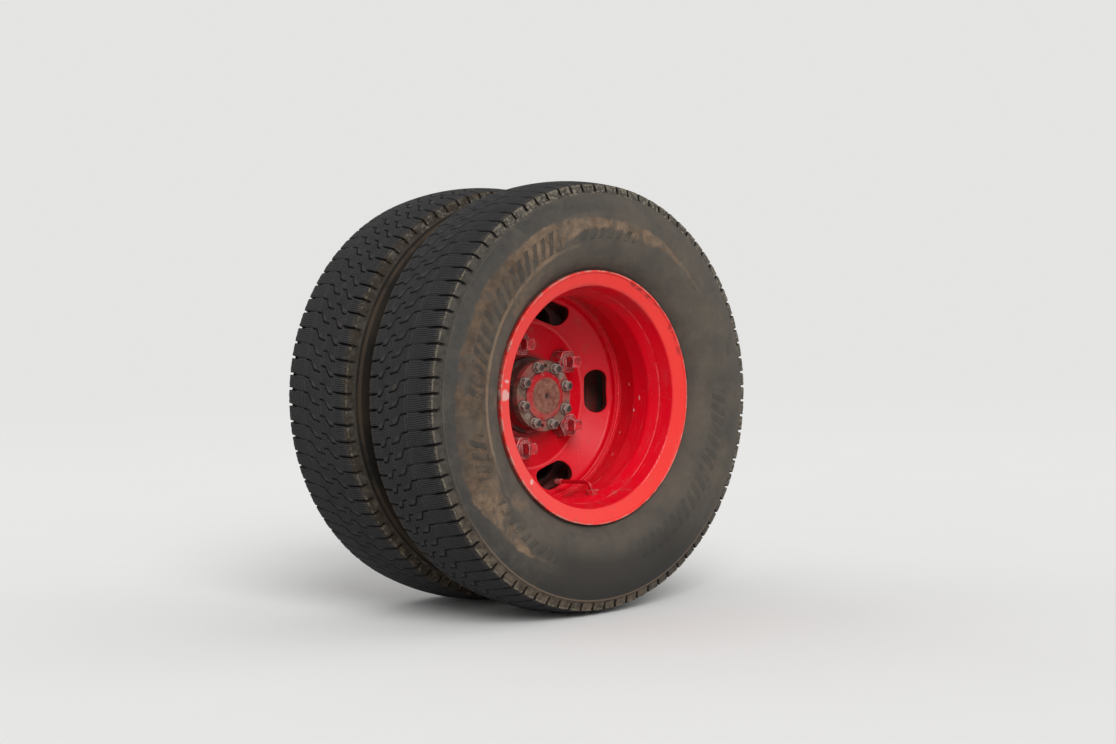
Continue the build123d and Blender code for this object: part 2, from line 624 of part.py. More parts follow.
def spline_grooves(y_end):
    """Cutter for the grooves between the spline's teeth, outboard from the shaft's end."""
    floor = SPLINE_RADIUS - SPLINE_DEPTH
    top = SPLINE_RADIUS + OVERRUN
    groove = make_face(
        Polyline(
            (floor, -SPLINE_GROOVE_FLOOR / 2),
            (top, -SPLINE_GROOVE_TOP / 2),
            (top, SPLINE_GROOVE_TOP / 2),
            (floor, SPLINE_GROOVE_FLOOR / 2),
            close=True,
        ).edges()
    )
    cutter = extrude(outboard_plane(y_end + OVERRUN) * groove, SPLINE_LENGTH - SPLINE_RUN_OUT + OVERRUN)
    return [Rotation(0, 360 / SPLINE_TEETH * i, 0) * cutter for i in range(SPLINE_TEETH)]


def half_shaft():
    """Half shaft forged with its drive flange, with a splined inner end."""
    y_inner = Y_SHAFT_FACE + SHAFT_LENGTH
    y_spline = y_inner - SPLINE_LENGTH
    y_boss = Y_SHAFT_FACE - SHAFT_BOSS_HEIGHT
    rows = (
        (0, y_boss, SHARP),
        (SHAFT_BOSS_TOP_RADIUS, y_boss, EDGE_ROUND),
        (SHAFT_BOSS_RADIUS, Y_SHAFT_FACE - SHAFT_BOSS_STEP, SHARP),
        (SHAFT_BOSS_RADIUS, Y_SHAFT_FACE, SHARP),
        (SHAFT_FLANGE_RADIUS, Y_SHAFT_FACE, EDGE_ROUND),
        (SHAFT_FLANGE_RADIUS, Y_NOSE, EDGE_BREAK),
        (SHAFT_ROOT_RADIUS, Y_NOSE, SHARP),
        (SHAFT_RADIUS, Y_NOSE + SHAFT_ROOT_RADIUS - SHAFT_RADIUS, CAST_ROUND),
        (SHAFT_RADIUS, y_spline - TIP_CHAMFER, EDGE_BREAK),
        (SPLINE_RADIUS, y_spline, EDGE_BREAK),
        (SPLINE_RADIUS, y_inner - TIP_CHAMFER, SHARP),
        (SPLINE_RADIUS - TIP_CHAMFER, y_inner, SHARP),
        (0, y_inner, SHARP),
    )
    body = turned(profile(rows))
    drill_tip = (0, y_boss + CENTRE_DRILL_DEPTH)
    body -= turned(Polyline((0, y_boss), (CENTRE_DRILL_RADIUS, y_boss), drill_tip, close=True))
    stud_bore = rod(FLANGE_STUD_RADIUS + FLANGE_HOLE_FIT, Y_SHAFT_FACE - OVERRUN, Y_NOSE + OVERRUN)
    for angle in flange_nut_angles():
        body -= around(FLANGE_NUT_CIRCLE, angle) * stud_bore
    jack_bore = rod(JACK_HOLE_RADIUS, Y_SHAFT_FACE - OVERRUN, Y_NOSE + OVERRUN)
    for angle in JACK_HOLE_DEG:
        body -= around(FLANGE_NUT_CIRCLE, angle) * jack_bore
    dowel_bore = rod(DOWEL_RADIUS + THREAD_FIT, Y_SHAFT_FACE - OVERRUN, Y_NOSE + OVERRUN)
    for angle in DOWEL_DEG:
        body -= around(FLANGE_NUT_CIRCLE, angle) * dowel_bore
    for groove in spline_grooves(y_inner):
        body -= groove
    return body


def flange_nut():
    """Stud of the half-shaft flange with its washer and nut."""
    washer_top = Y_SHAFT_FACE - FLANGE_WASHER_THICKNESS
    stud_end = washer_top - FLANGE_NUT_HEIGHT - FLANGE_STUD_TIP
    y_root = Y_NOSE + FLANGE_STUD_DEPTH
    stud = turned(
        Polyline(
            (0, y_root),
            (FLANGE_STUD_RADIUS, y_root),
            (FLANGE_STUD_RADIUS, stud_end + EDGE_BREAK),
            (FLANGE_STUD_RADIUS - EDGE_BREAK, stud_end),
            (0, stud_end),
            close=True,
        )
    )
    washer = rod(FLANGE_WASHER_RADIUS, Y_SHAFT_FACE, washer_top)
    return stud + washer + hex_bar(FLANGE_NUT_FLATS, washer_top, FLANGE_NUT_HEIGHT)


def dowel():
    """Dowel pin that centres the half-shaft flange on the hub."""
    y_start = Y_SHAFT_FACE - DOWEL_PROUD
    return rod(DOWEL_RADIUS, y_start, y_start + DOWEL_LENGTH)


# Axle end and brake back


def axle_end():
    """Hollow spindle with two journals, the brake flange and the axle tube's end."""
    y_seal_land = Y_INNER_LAND_END + SEAL_LAND_GAP
    y_bore_end = -AXLE_TUBE_BORE_DEPTH - AXLE_TUBE_BORE_TAPER
    tube_bore = AXLE_TUBE_RADIUS - AXLE_TUBE_WALL
    rows = (
        (OUTER_JOURNAL_RADIUS - TIP_CHAMFER, Y_SPINDLE_TIP, SHARP),
        (OUTER_JOURNAL_RADIUS, Y_SPINDLE_TIP + TIP_CHAMFER, SHARP),
        (OUTER_JOURNAL_RADIUS, Y_OUTER_LAND + OUTER_LAND_LENGTH + JOURNAL_OVERRUN, SHARP),
        (INNER_JOURNAL_RADIUS, Y_INNER_LAND - JOURNAL_OVERRUN, SHARP),
        (INNER_JOURNAL_RADIUS, y_seal_land, EDGE_ROUND),
        (SEAL_LAND_RADIUS, y_seal_land, EDGE_BREAK),
        (SEAL_LAND_RADIUS, Y_HUB_END + SEAL_LAND_RUN_OUT, CAST_ROUND),
        (SPINDLE_ROOT_RADIUS, Y_PLATE - SPINDLE_ROOT_LENGTH, CAST_ROUND),
        (SPINDLE_ROOT_RADIUS, Y_FLANGE_FACE, SHARP),
        (BRAKE_FLANGE_RADIUS, Y_FLANGE_FACE, EDGE_ROUND),
        (BRAKE_FLANGE_RADIUS, Y_FLANGE_BACK, EDGE_ROUND),
        (AXLE_TUBE_RADIUS, Y_FLANGE_BACK, PRESS_ROUND),
        (AXLE_TUBE_RADIUS, 0, SHARP),
        (tube_bore, 0, SHARP),
        (tube_bore, -AXLE_TUBE_BORE_DEPTH, CAST_ROUND),
        (SPINDLE_BORE_RADIUS, y_bore_end, CAST_ROUND),
        (SPINDLE_BORE_RADIUS, Y_SPINDLE_TIP, SHARP),
    )
    return turned(profile(rows))


def backing_plate():
    """Pressed steel plate behind the drum, with a rim that wraps the drum's edge."""
    hole = SPINDLE_ROOT_RADIUS + PLATE_FIT
    rim_outer = PLATE_RIM_INNER + PLATE_THICKNESS
    rows = (
        (hole, Y_FLANGE_FACE, SHARP),
        (hole, Y_PLATE, SHARP),
        (PLATE_STEP_RADIUS, Y_PLATE, EDGE_ROUND),
        (PLATE_STEP_RADIUS + PLATE_STEP, Y_PLATE + PLATE_STEP, EDGE_ROUND),
        (PLATE_RIM_INNER, Y_PLATE + PLATE_STEP, EDGE_ROUND),
        (PLATE_RIM_INNER, Y_PLATE - PLATE_RIM_DEPTH, SHARP),
        (rim_outer, Y_PLATE - PLATE_RIM_DEPTH, SHARP),
        (rim_outer, Y_FLANGE_FACE + PLATE_STEP, CAST_ROUND),
        (PLATE_STEP_RADIUS + PLATE_STEP, Y_FLANGE_FACE + PLATE_STEP, EDGE_ROUND),
        (PLATE_STEP_RADIUS, Y_FLANGE_FACE, EDGE_ROUND),
    )
    return turned(profile(rows))


def wheel_cylinder(way, has_inlet):
    """Foot of a wheel cylinder behind the plate, with its pipe union and bleeder."""
    y_foot = Y_FLANGE_FACE + PLATE_FIT
    here = Location((0, 0, way * CYLINDER_RADIUS))
    outline = RectangleRounded(CYLINDER_LENGTH, CYLINDER_HEIGHT, CYLINDER_ROUND)
    union_place = here * Location((PORT_SPACING, 0, 0))
    inlet_place = here * Location((-PORT_SPACING, 0, 0))
    on_top = inboard_plane(Y_CYLINDER_TOP)
    pipe_nut = Plane((0, Y_PIPE, 0), z_dir=(1, 0, 0)) * RegularPolygon(PIPE_NUT_FLATS / math.sqrt(3), 6)
    bleeder_hex = RegularPolygon(BLEEDER_FLATS / math.sqrt(3), 6)
    body = here * extrude(inboard_plane(y_foot) * outline, CYLINDER_THICKNESS)
    body += union_place * extrude(on_top * Circle(UNION_RADIUS), UNION_HEIGHT)
    body += union_place * extrude(pipe_nut, PIPE_NUT_REACH)
    body += inlet_place * extrude(on_top * Circle(UNION_RADIUS), PORT_BOSS_HEIGHT)
    body += here * extrude(on_top * bleeder_hex, BLEEDER_HEX_HEIGHT)
    body += here * extrude(on_top * Circle(BLEEDER_NIPPLE_RADIUS), BLEEDER_HEIGHT)
    if has_inlet:
        port_mouth = inboard_plane(Y_CYLINDER_TOP + PORT_BOSS_HEIGHT)
        body -= inlet_place * extrude(port_mouth * Circle(PORT_RADIUS), -PORT_DEPTH)
    return body


def brake_pipe():
    """Steel pipe that joins the two wheel cylinders round the axle tube."""
    start = PORT_SPACING + PIPE_NUT_REACH
    path = FilletPolyline(
        (start, Y_PIPE, CYLINDER_RADIUS),
        (PIPE_REACH, Y_PIPE, CYLINDER_RADIUS),
        (PIPE_REACH, Y_PIPE, -CYLINDER_RADIUS),
        (start, Y_PIPE, -CYLINDER_RADIUS),
        radius=PIPE_BEND,
    )
    section = Plane((start, Y_PIPE, CYLINDER_RADIUS), z_dir=(1, 0, 0)) * Circle(PIPE_RADIUS)
    return sweep(section, path.edges())


# Tyre valves


def valve_hole(side, degrees):
    """Radial hole through the rim's well for the valve base."""
    y = wheel_place(side, VALVE_DEPTH)
    hole = Plane((0, y, 0), z_dir=(1, 0, 0)) * Circle(VALVE_BASE_RADIUS + VALVE_BASE_FIT)
    return Rotation(0, -degrees, 0) * extrude(hole, SEAT_RADIUS)


def valve(side, degrees, turn_drop, tip_drop):
    """Bent valve: base through the rim, nut, stem towards the disc and cap."""
    y_root = wheel_place(side, VALVE_DEPTH)
    y_cap = wheel_place(side, VALVE_CAP_DEPTH)
    nut_top = WELL_INNER_RADIUS - VALVE_NUT_SEAT
    nut_bottom = nut_top - VALVE_NUT_HEIGHT
    base_plane = Plane((nut_bottom, y_root, 0), z_dir=(1, 0, 0))
    head_radius = WELL_INNER_RADIUS + WELL_WALL + VALVE_HEAD
    body = extrude(base_plane * Circle(VALVE_BASE_RADIUS), head_radius - nut_bottom)
    body += extrude(base_plane * RegularPolygon(VALVE_NUT_RADIUS, 6), VALVE_NUT_HEIGHT)
    turn = Vector(WELL_INNER_RADIUS - turn_drop, y_root, 0)
    tip = Vector(WELL_INNER_RADIUS - tip_drop, y_cap, 0)
    along = (tip - turn).normalized()
    if turn.X < nut_bottom - VALVE_BEND:
        root = Vector(nut_bottom + VALVE_STEM_SINK, y_root, 0)
        path = FilletPolyline(root, turn, tip, radius=VALVE_BEND)
        body += sweep(Plane(root, z_dir=(-1, 0, 0)) * Circle(VALVE_STEM_RADIUS), path.edges())
    else:
        body += extrude(Plane(turn, z_dir=along) * Circle(VALVE_STEM_RADIUS), (tip - turn).length)
    body += extrude(Plane(tip, z_dir=along) * Circle(VALVE_CAP_RADIUS), -VALVE_CAP_LENGTH)
    return Rotation(0, -degrees, 0) * body


# All nodes

nodes = {}
for name, side, degrees, turn_drop, tip_drop in WHEELS:
    nodes[f"{name}_tyre"] = tyre(side)
    nodes[f"{name}_rim"] = rim(side) - valve_hole(side, degrees)
    nodes[f"{name}_disc"] = disc(side)
    nodes[f"{name}_valve"] = valve(side, degrees, turn_drop, tip_drop)
nodes["hub"] = hub()
nodes["brake_drum"] = brake_drum()
nodes["half_shaft"] = half_shaft()
for i, angle in enumerate(stud_angles(), start=1):
    place = around(STUD_CIRCLE_RADIUS, angle)
    nodes[f"wheel_stud_{i}"] = place * wheel_stud()
    nodes[f"cap_nut_{i}"] = place * cap_nut()
    nodes[f"hex_nut_{i}"] = place * hex_nut()
for i, angle in enumerate(flange_nut_angles(), start=1):
    nodes[f"flange_nut_{i}"] = around(FLANGE_NUT_CIRCLE, angle) * flange_nut()
for i, angle in enumerate(DOWEL_DEG, start=1):
    nodes[f"dowel_{i}"] = around(FLANGE_NUT_CIRCLE, angle) * dowel()
nodes["axle_end"] = axle_end()
nodes["backing_plate"] = backing_plate()
nodes["upper_wheel_cylinder"] = wheel_cylinder(1, True)
nodes["lower_wheel_cylinder"] = wheel_cylinder(-1, False)
nodes["brake_pipe"] = brake_pipe()

for name, shape in nodes.items():
    export_step(shape, f"parts/{name}.step")
    print(name, len(shape.solids()), round(shape.volume / 1000.0, 1), "cm3")
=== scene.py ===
import math

import bpy
import numpy as np
from bpy.props import FloatProperty, FloatVectorProperty, IntProperty, PointerProperty
from mathutils import Matrix, Vector


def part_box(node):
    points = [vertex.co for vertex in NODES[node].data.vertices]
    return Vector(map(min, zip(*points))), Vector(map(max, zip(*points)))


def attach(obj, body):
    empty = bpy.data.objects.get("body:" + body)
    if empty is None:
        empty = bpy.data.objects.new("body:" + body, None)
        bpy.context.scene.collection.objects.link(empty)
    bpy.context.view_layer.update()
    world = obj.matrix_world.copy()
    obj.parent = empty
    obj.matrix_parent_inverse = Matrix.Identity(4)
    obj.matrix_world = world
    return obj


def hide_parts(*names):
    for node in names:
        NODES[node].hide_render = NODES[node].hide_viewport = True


bl_info = {
    "name": "Twin rear wheel looks",
    "version": (1, 0, 0),
    "blender": (4, 5, 0),
    "location": "3D View > Sidebar > Twin wheel",
    "description": "Tyres, finishes, small details and stage of a truck's twin rear wheel on its axle end",
    "category": "Object",
}

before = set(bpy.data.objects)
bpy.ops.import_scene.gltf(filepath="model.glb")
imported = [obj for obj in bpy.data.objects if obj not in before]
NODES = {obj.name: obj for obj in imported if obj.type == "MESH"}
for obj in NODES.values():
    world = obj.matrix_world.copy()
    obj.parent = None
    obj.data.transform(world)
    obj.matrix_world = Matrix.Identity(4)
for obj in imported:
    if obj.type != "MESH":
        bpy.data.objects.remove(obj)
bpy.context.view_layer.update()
MM = 0.001
FULL_TURN = 2 * math.pi

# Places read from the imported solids, in millimetres


def low_high(node):
    """Lowest and highest corner of a CAD node, in millimetres."""
    low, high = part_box(node)
    return low / MM, high / MM


def middle(node):
    low, high = low_high(node)
    return (low + high) / 2


TYRE_RADIUS = low_high("outer_tyre")[1].x
OUTER_CENTRE = middle("outer_tyre").y
INNER_CENTRE = middle("inner_tyre").y
RIM_EDGE = low_high("outer_rim")[0].y
DISC_EDGE_RADIUS = low_high("outer_disc")[1].x
OUTER_WELD = low_high("outer_disc")[0].y
INNER_WELD = low_high("inner_disc")[1].y
HUB_NOSE = low_high("hub")[0].y
FLANGE_STUD_END = low_high("flange_nut_1")[0].y
HEX_NUT_END = low_high("hex_nut_1")[0].y
PLATE_FACE = low_high("upper_wheel_cylinder")[0].y - 0.2
CYLINDER_END = low_high("upper_wheel_cylinder")[1].y

# Circles of nuts, bolts and plugs: radius in mm, count and first angle in degrees
STUDS = (104.0, 5, 36.0)
FLANGE_STUDS = (57.0, 8, 17.0)
DOWELS = (57.0, 2, 39.5)
AXLE_BOLTS = (80.0, 8, 22.5)
PLUGS = (160.0, 4, 38.0)

# Tyre section in mm: half width of the tread, fall of its crown there, half width of the sidewalls
HALF_TREAD = 88.0
CROWN_DROP = 9.5
WALL_WIDEST = 113.0

# Soft limits of the tyre's colours in mm: tread from inside and from its sides, and shoulder strip
TREAD_START = (391.0, 393.0)
TREAD_SIDE = (89.5, 87.5)
STRIP_START = (374.0, 377.0)
STRIP_END = (395.0, 392.5)


# Settings that a user would change


def colour_setting(name, description, default):
    return FloatVectorProperty(name=name, description=description, default=default, min=0, max=1,
                               subtype="COLOR")


def number_setting(name, description, default, low, high):
    return FloatProperty(name=name, description=description, default=default, min=low, max=high)


def count_setting(name, description, default, low, high):
    return IntProperty(name=name, description=description, default=default, min=low, max=high)


class TyreSettings(bpy.types.PropertyGroup):
    pitches: count_setting("Tread pitches", "Tread blocks round the tyre", 84, 40, 120)
    slot_width: number_setting("Slot width", "Cross slots of the shoulders, in mm", 4.6, 1, 8)
    slot_depth: number_setting("Slot depth", "Cross slots of the shoulders, in mm", 8.5, 2, 14)
    groove_depth: number_setting("Groove depth", "Grooves round the tyre, in mm", 9.0, 2, 14)
    sipes: count_setting("Sipes", "Fine cuts in each tread block", 8, 0, 14)
    rubber: colour_setting("Tread rubber", "Worn tread rubber", (0.028, 0.028, 0.030))
    sidewall: colour_setting("Sidewall rubber", "Clean sidewall under the shoulder", (0.045, 0.042, 0.038))
    road_dust: colour_setting("Road dust", "Grey-brown film on the sidewall", (0.094, 0.079, 0.062))
    dry_mud: colour_setting("Dry mud", "Brown band of dried mud", (0.178, 0.122, 0.082))


class PaintSettings(bpy.types.PropertyGroup):
    enamel: colour_setting("Red enamel", "Wheel paint in the barrel and on the discs", (0.655, 0.002, 0.014))
    faded: colour_setting("Faded enamel", "Wheel paint on the rim's lip", (0.705, 0.037, 0.029))
    pink_dust: colour_setting("Dusty enamel", "Chalky film on the discs", (0.520, 0.052, 0.058))
    primer: colour_setting("Chipped paint", "Pale primer where the enamel is chipped", (0.620, 0.360, 0.330))
    ripples: count_setting("Weld ripples", "Ripples of the weld between disc and rim", 230, 60, 400)


class MetalSettings(bpy.types.PropertyGroup):
    worn_steel: colour_setting("Worn steel", "Bare edges of nuts", (0.640, 0.590, 0.540))
    grey_dust: colour_setting("Grey dust", "Dust on nuts and hub", (0.270, 0.215, 0.175))
    rust: colour_setting("Rust", "Rust of drum, axle and shaft", (0.200, 0.078, 0.032))
    iron: colour_setting("Cast iron", "Drum and wheel cylinders", (0.110, 0.090, 0.078))
    chassis_black: colour_setting("Chassis black", "Paint of the axle end", (0.022, 0.022, 0.023))


class StageSettings(bpy.types.PropertyGroup):
    floor: colour_setting("Floor", "Colour of the floor", (0.72, 0.72, 0.71))
    key_strength: number_setting("Key light", "Broad soft light from above the camera", 2.25, 0, 10)
    fill_strength: number_setting("Fill light", "Broad soft light from the other sides", 0.55, 0, 10)
    sky: number_setting("Surround", "Strength of the pale surround", 0.54, 0, 2)


# Node trees of the finishes


def tone(colour, factor):
    """Plain colour made lighter or darker."""
    return tuple(part * factor for part in colour)


class Number:
    """Number worked out in a node tree. The signs +, -, * and / each add a step to the tree."""

    def __init__(self, tree, socket):
        self.tree = tree
        self.socket = socket

    def __add__(self, other):
        return self.tree.calc("ADD", self, other)

    def __sub__(self, other):
        return self.tree.calc("SUBTRACT", self, other)

    def __rsub__(self, other):
        return self.tree.calc("SUBTRACT", other, self)

    def __mul__(self, other):
        return self.tree.calc("MULTIPLY", self, other)

    def __truediv__(self, other):
        return self.tree.calc("DIVIDE", self, other)

    __radd__ = __add__
    __rmul__ = __mul__


class NodeTree:
    """Node tree of a material or world, written as steps."""

    # Rays that meet the background in the colour of the floor
    SHOWN_TO = ("Is Camera Ray", "Is Glossy Ray", "Is Transmission Ray")

    def __init__(self, owner):
        owner.use_nodes = True
        self.tree = owner.node_tree
        self.tree.nodes.clear()

    def node(self, kind, **values):
        """New shader node of a kind, such as Math, with its own values."""
        node = self.tree.nodes.new("ShaderNode" + kind)
        for name, value in values.items():
            setattr(node, name, value)
        return node

    def feed(self, value, socket):
        """Links a number or socket, or writes a plain number or colour on the socket."""
        if isinstance(value, Number):
            value = value.socket
        if isinstance(value, bpy.types.NodeSocket):
            self.tree.links.new(value, socket)
        elif socket.type == "RGBA":
            socket.default_value = (*value, 1.0)
        else:
            socket.default_value = value

    def feed_all(self, node, values):
        """Feeds a node's sockets by their names."""
        for name, value in values.items():
            self.feed(value, node.inputs[name])
        return node

    def calc(self, operation, *values):
        node = self.node("Math", operation=operation)
        for socket, value in zip(node.inputs, values):
            self.feed(value, socket)
        return Number(self, node.outputs[0])

    def most(self, first, *others):
        """Largest of several shares."""
        for other in others:
            first = self.calc("MAXIMUM", first, other)
        return first

    def shown_share(self):
        """1 for the rays that meet the background in the colour of the floor."""
        path = self.node("LightPath")
        return self.most(*(path.outputs[ray] for ray in self.SHOWN_TO))

    def glow(self, kind, colour, strength):
        """Shader that gives off light: Emission on a surface, Background in a world."""
        return self.feed_all(self.node(kind), {"Color": colour, "Strength": strength}).outputs[0]

    def show(self, share, first, second, output):
        """Puts two shaders on the output, the second by its share."""
        pick = self.node("MixShader")
        for socket, value in zip(pick.inputs, (share, first, second)):
            self.feed(value, socket)
        self.feed(pick.outputs[0], output.inputs["Surface"])


class Finish(NodeTree):
    """A procedural finish, written as steps that each give a number or a colour."""

    def __init__(self, name, specular=0.5, coat=0.0, coat_roughness=0.03):
        self.material = bpy.data.materials.new(name)
        super().__init__(self.material)
        self.shader = self.node("BsdfPrincipled")
        self.feed_all(self.shader, {"Specular IOR Level": specular, "Coat Weight": coat,
                                    "Coat Roughness": coat_roughness})
        self.output = self.node("OutputMaterial")
        self.feed(self.shader.outputs["BSDF"], self.output.inputs["Surface"])
        self.place = self.node("TexCoord").outputs["Object"]
        self.x, self.along, self.z = (part * (1 / MM) for part in self.split(self.place))
        self.radius = self.length(self.x, self.z)
        self.angle = self.calc("ARCTAN2", self.z, self.x)

    def split(self, vector):
        """The three numbers of a vector."""
        node = self.node("SeparateXYZ")
        self.feed(vector, node.inputs[0])
        return [Number(self, socket) for socket in node.outputs]

    def length(self, first, second):
        return self.calc("SQRT", first * first + second * second)

    def step(self, value, low, high):
        """0 below low, 1 above high, smooth between. With low above high it falls."""
        node = self.node("MapRange", interpolation_type="SMOOTHSTEP")
        limits = (high, low, 1.0, 0.0) if low > high else (low, high, 0.0, 1.0)
        for socket, number in zip(node.inputs, (value, *limits)):
            self.feed(number, socket)
        return Number(self, node.outputs[0])

    def band(self, value, low, high, soft):
        """1 between low and high, with soft sides outside them."""
        return self.step(value, low - soft, low) * self.step(value, high + soft, high)

    def blend(self, share, first, second):
        """Colour that goes from the first to the second."""
        node = self.node("Mix", data_type="RGBA", clamp_factor=True)
        for place, value in ((0, share), (6, first), (7, second)):
            self.feed(value, node.inputs[place])
        return node.outputs[2]

    def layers(self, colour, *coats):
        """Colour with others laid over it in turn, each a row of its share and its colour."""
        for share, coat in coats:
            colour = self.blend(share, colour, coat)
        return colour

    def mottle(self, share, colour, low, high):
        """Two tones of one colour, given by their factors."""
        return self.blend(share, tone(colour, low), tone(colour, high))

    def shade(self, colour, amount):
        """Colour made lighter or darker by a factor."""
        node = self.node("VectorMath", operation="SCALE")
        return self.feed_all(node, {0: colour, "Scale": amount}).outputs[0]

    def stretched(self, x, y, z):
        """The piece's own coordinates, scaled by axis."""
        node = self.node("VectorMath", operation="MULTIPLY")
        return self.feed_all(node, {0: self.place, 1: (x, y, z)}).outputs[0]

    def noise(self, scale, detail=3.0, roughness=0.55, place=None, distortion=0.0):
        """Cloudy noise from 0 to 1. The scale is in clouds a metre."""
        values = {"Vector": self.place if place is None else place, "Scale": scale, "Detail": detail,
                  "Roughness": roughness, "Distortion": distortion}
        return Number(self, self.feed_all(self.node("TexNoise"), values).outputs["Fac"])

    def cloud(self, scale, detail, roughness, low, high, **more):
        """Patches of noise: 0 where it is below low, 1 where it is above high."""
        return self.step(self.noise(scale, detail, roughness, **more), low, high)

    def pattern_distance(self, circle, count, start):
        """Distance in mm from the nearest place of a bolt circle, given its first angle in degrees."""
        turn = FULL_TURN / count
        local = self.calc("WRAP", self.angle - math.radians(start), turn / 2, -turn / 2)
        chord = self.calc("COSINE", local) * (2 * circle)
        square = self.radius * self.radius + circle * circle - self.radius * chord
        return self.calc("SQRT", self.most(square, 0.0))

    def spot_distance(self, degrees, radius, along, long_way, wide_way):
        """Distance from a place on a barrel, counted in its own length round the axle and width along it."""
        offset = self.calc("WRAP", self.angle - math.radians(degrees), math.pi, -math.pi)
        return self.length(offset * radius / long_way, (self.along - along) / wide_way)

    def curve(self, value, rows, low, high):
        """Number read from rows of (place, number). Places are from 0 to 1, numbers from low to high."""
        node = self.node("FloatCurve")
        self.feed(value, node.inputs["Value"])
        line = node.mapping.curves[0]
        while len(line.points) < len(rows):
            line.points.new(0.5, 0.5)
        for point, (place, number) in zip(line.points, rows):
            point.location = (place, (number - low) / (high - low))
            point.handle_type = "VECTOR"
        node.mapping.update()
        return Number(self, node.outputs[0]) * (high - low) + low

    def turned_share(self, start):
        """Share of a turn from the start angle in degrees, from 0 to 1."""
        return self.calc("FRACT", (self.angle * (180 / math.pi) + (720.0 - start)) / 360.0)

    def arc(self, low, high, soft=1.5):
        """1 between two angles in degrees."""
        share = self.turned_share(low)
        span = (high - low) / 360.0
        return self.step(share, 0.0, soft / 360.0) * self.step(share, span, span - soft / 360.0)

    def facing_along(self):
        """How far the surface faces along the axle, from -1 to 1, in the piece's own coordinates."""
        return self.split(self.node("TexCoord").outputs["Normal"])[1]

    def worn_edges(self, width, low=0.02, high=0.18):
        """1 on the edges of a solid, 0 on its faces. The width is in mm."""
        bevel = self.feed_all(self.node("Bevel", samples=6), {"Radius": width * MM})
        normals = {0: bevel.outputs["Normal"], 1: self.node("NewGeometry").outputs["Normal"]}
        dot = self.feed_all(self.node("VectorMath", operation="DOT_PRODUCT"), normals)
        return self.step(1.0 - Number(self, dot.outputs["Value"]), low, high)

    def corners(self, reach, low=0.2, high=0.7):
        """1 where a surface is closed in by its neighbours within reach, in mm."""
        node = self.feed_all(self.node("AmbientOcclusion", samples=6), {"Distance": reach * MM})
        return self.step(Number(self, node.outputs["AO"]), high, low)

    def finish(self, colour, roughness, height, depth, metallic=0.0):
        """Puts colour, roughness and bump on the shader. The depth of the bump's height is in mm."""
        bump = self.feed_all(self.node("Bump"), {"Strength": 1.0, "Distance": depth * MM, "Height": height})
        self.feed_all(self.shader, {"Base Color": colour, "Roughness": roughness, "Metallic": metallic,
                                    "Normal": bump.outputs["Normal"]})
        return self.material


# Dried mud on the sidewall: angle in degrees, radius of its inner and of its outer edge in mm
MUD_START = 20.0
MUD_EDGES = (
    (20.0, 312.0, 306.0), (38.0, 311.0, 314.0), (60.0, 306.0, 322.0), (72.0, 298.0, 326.0),
    (80.0, 308.0, 328.0), (100.0, 310.0, 335.0), (115.0, 286.0, 341.0), (130.0, 277.0, 345.0),
    (150.0, 277.0, 350.0), (165.0, 277.0, 353.0), (185.0, 285.0, 356.0), (205.0, 290.0, 358.0),
    (213.0, 300.0, 352.0), (235.0, 325.0, 333.0), (252.0, 326.0, 326.0), (380.0, 326.0, 306.0),
)

# Rows of slanted ribs on the sidewall: from and to angle in degrees, inner and outer radius in mm
RIB_ROWS = (
    (108.0, 178.0, 294.0, 328.0),
    (74.0, 100.0, 294.0, 312.0),
    (188.0, 204.0, 301.0, 332.0),
    (212.0, 246.0, 303.0, 320.0),
    (284.0, 361.0, 282.0, 312.0),
)

# Ribs: middle radius in mm, count round the tyre, slant in mm a mm of radius, shift round the tyre in mm
RIB_RADIUS = 311.0
RIB_COUNT = 88
RIB_SLANT = 0.45
RIB_SHIFT = 3000.0


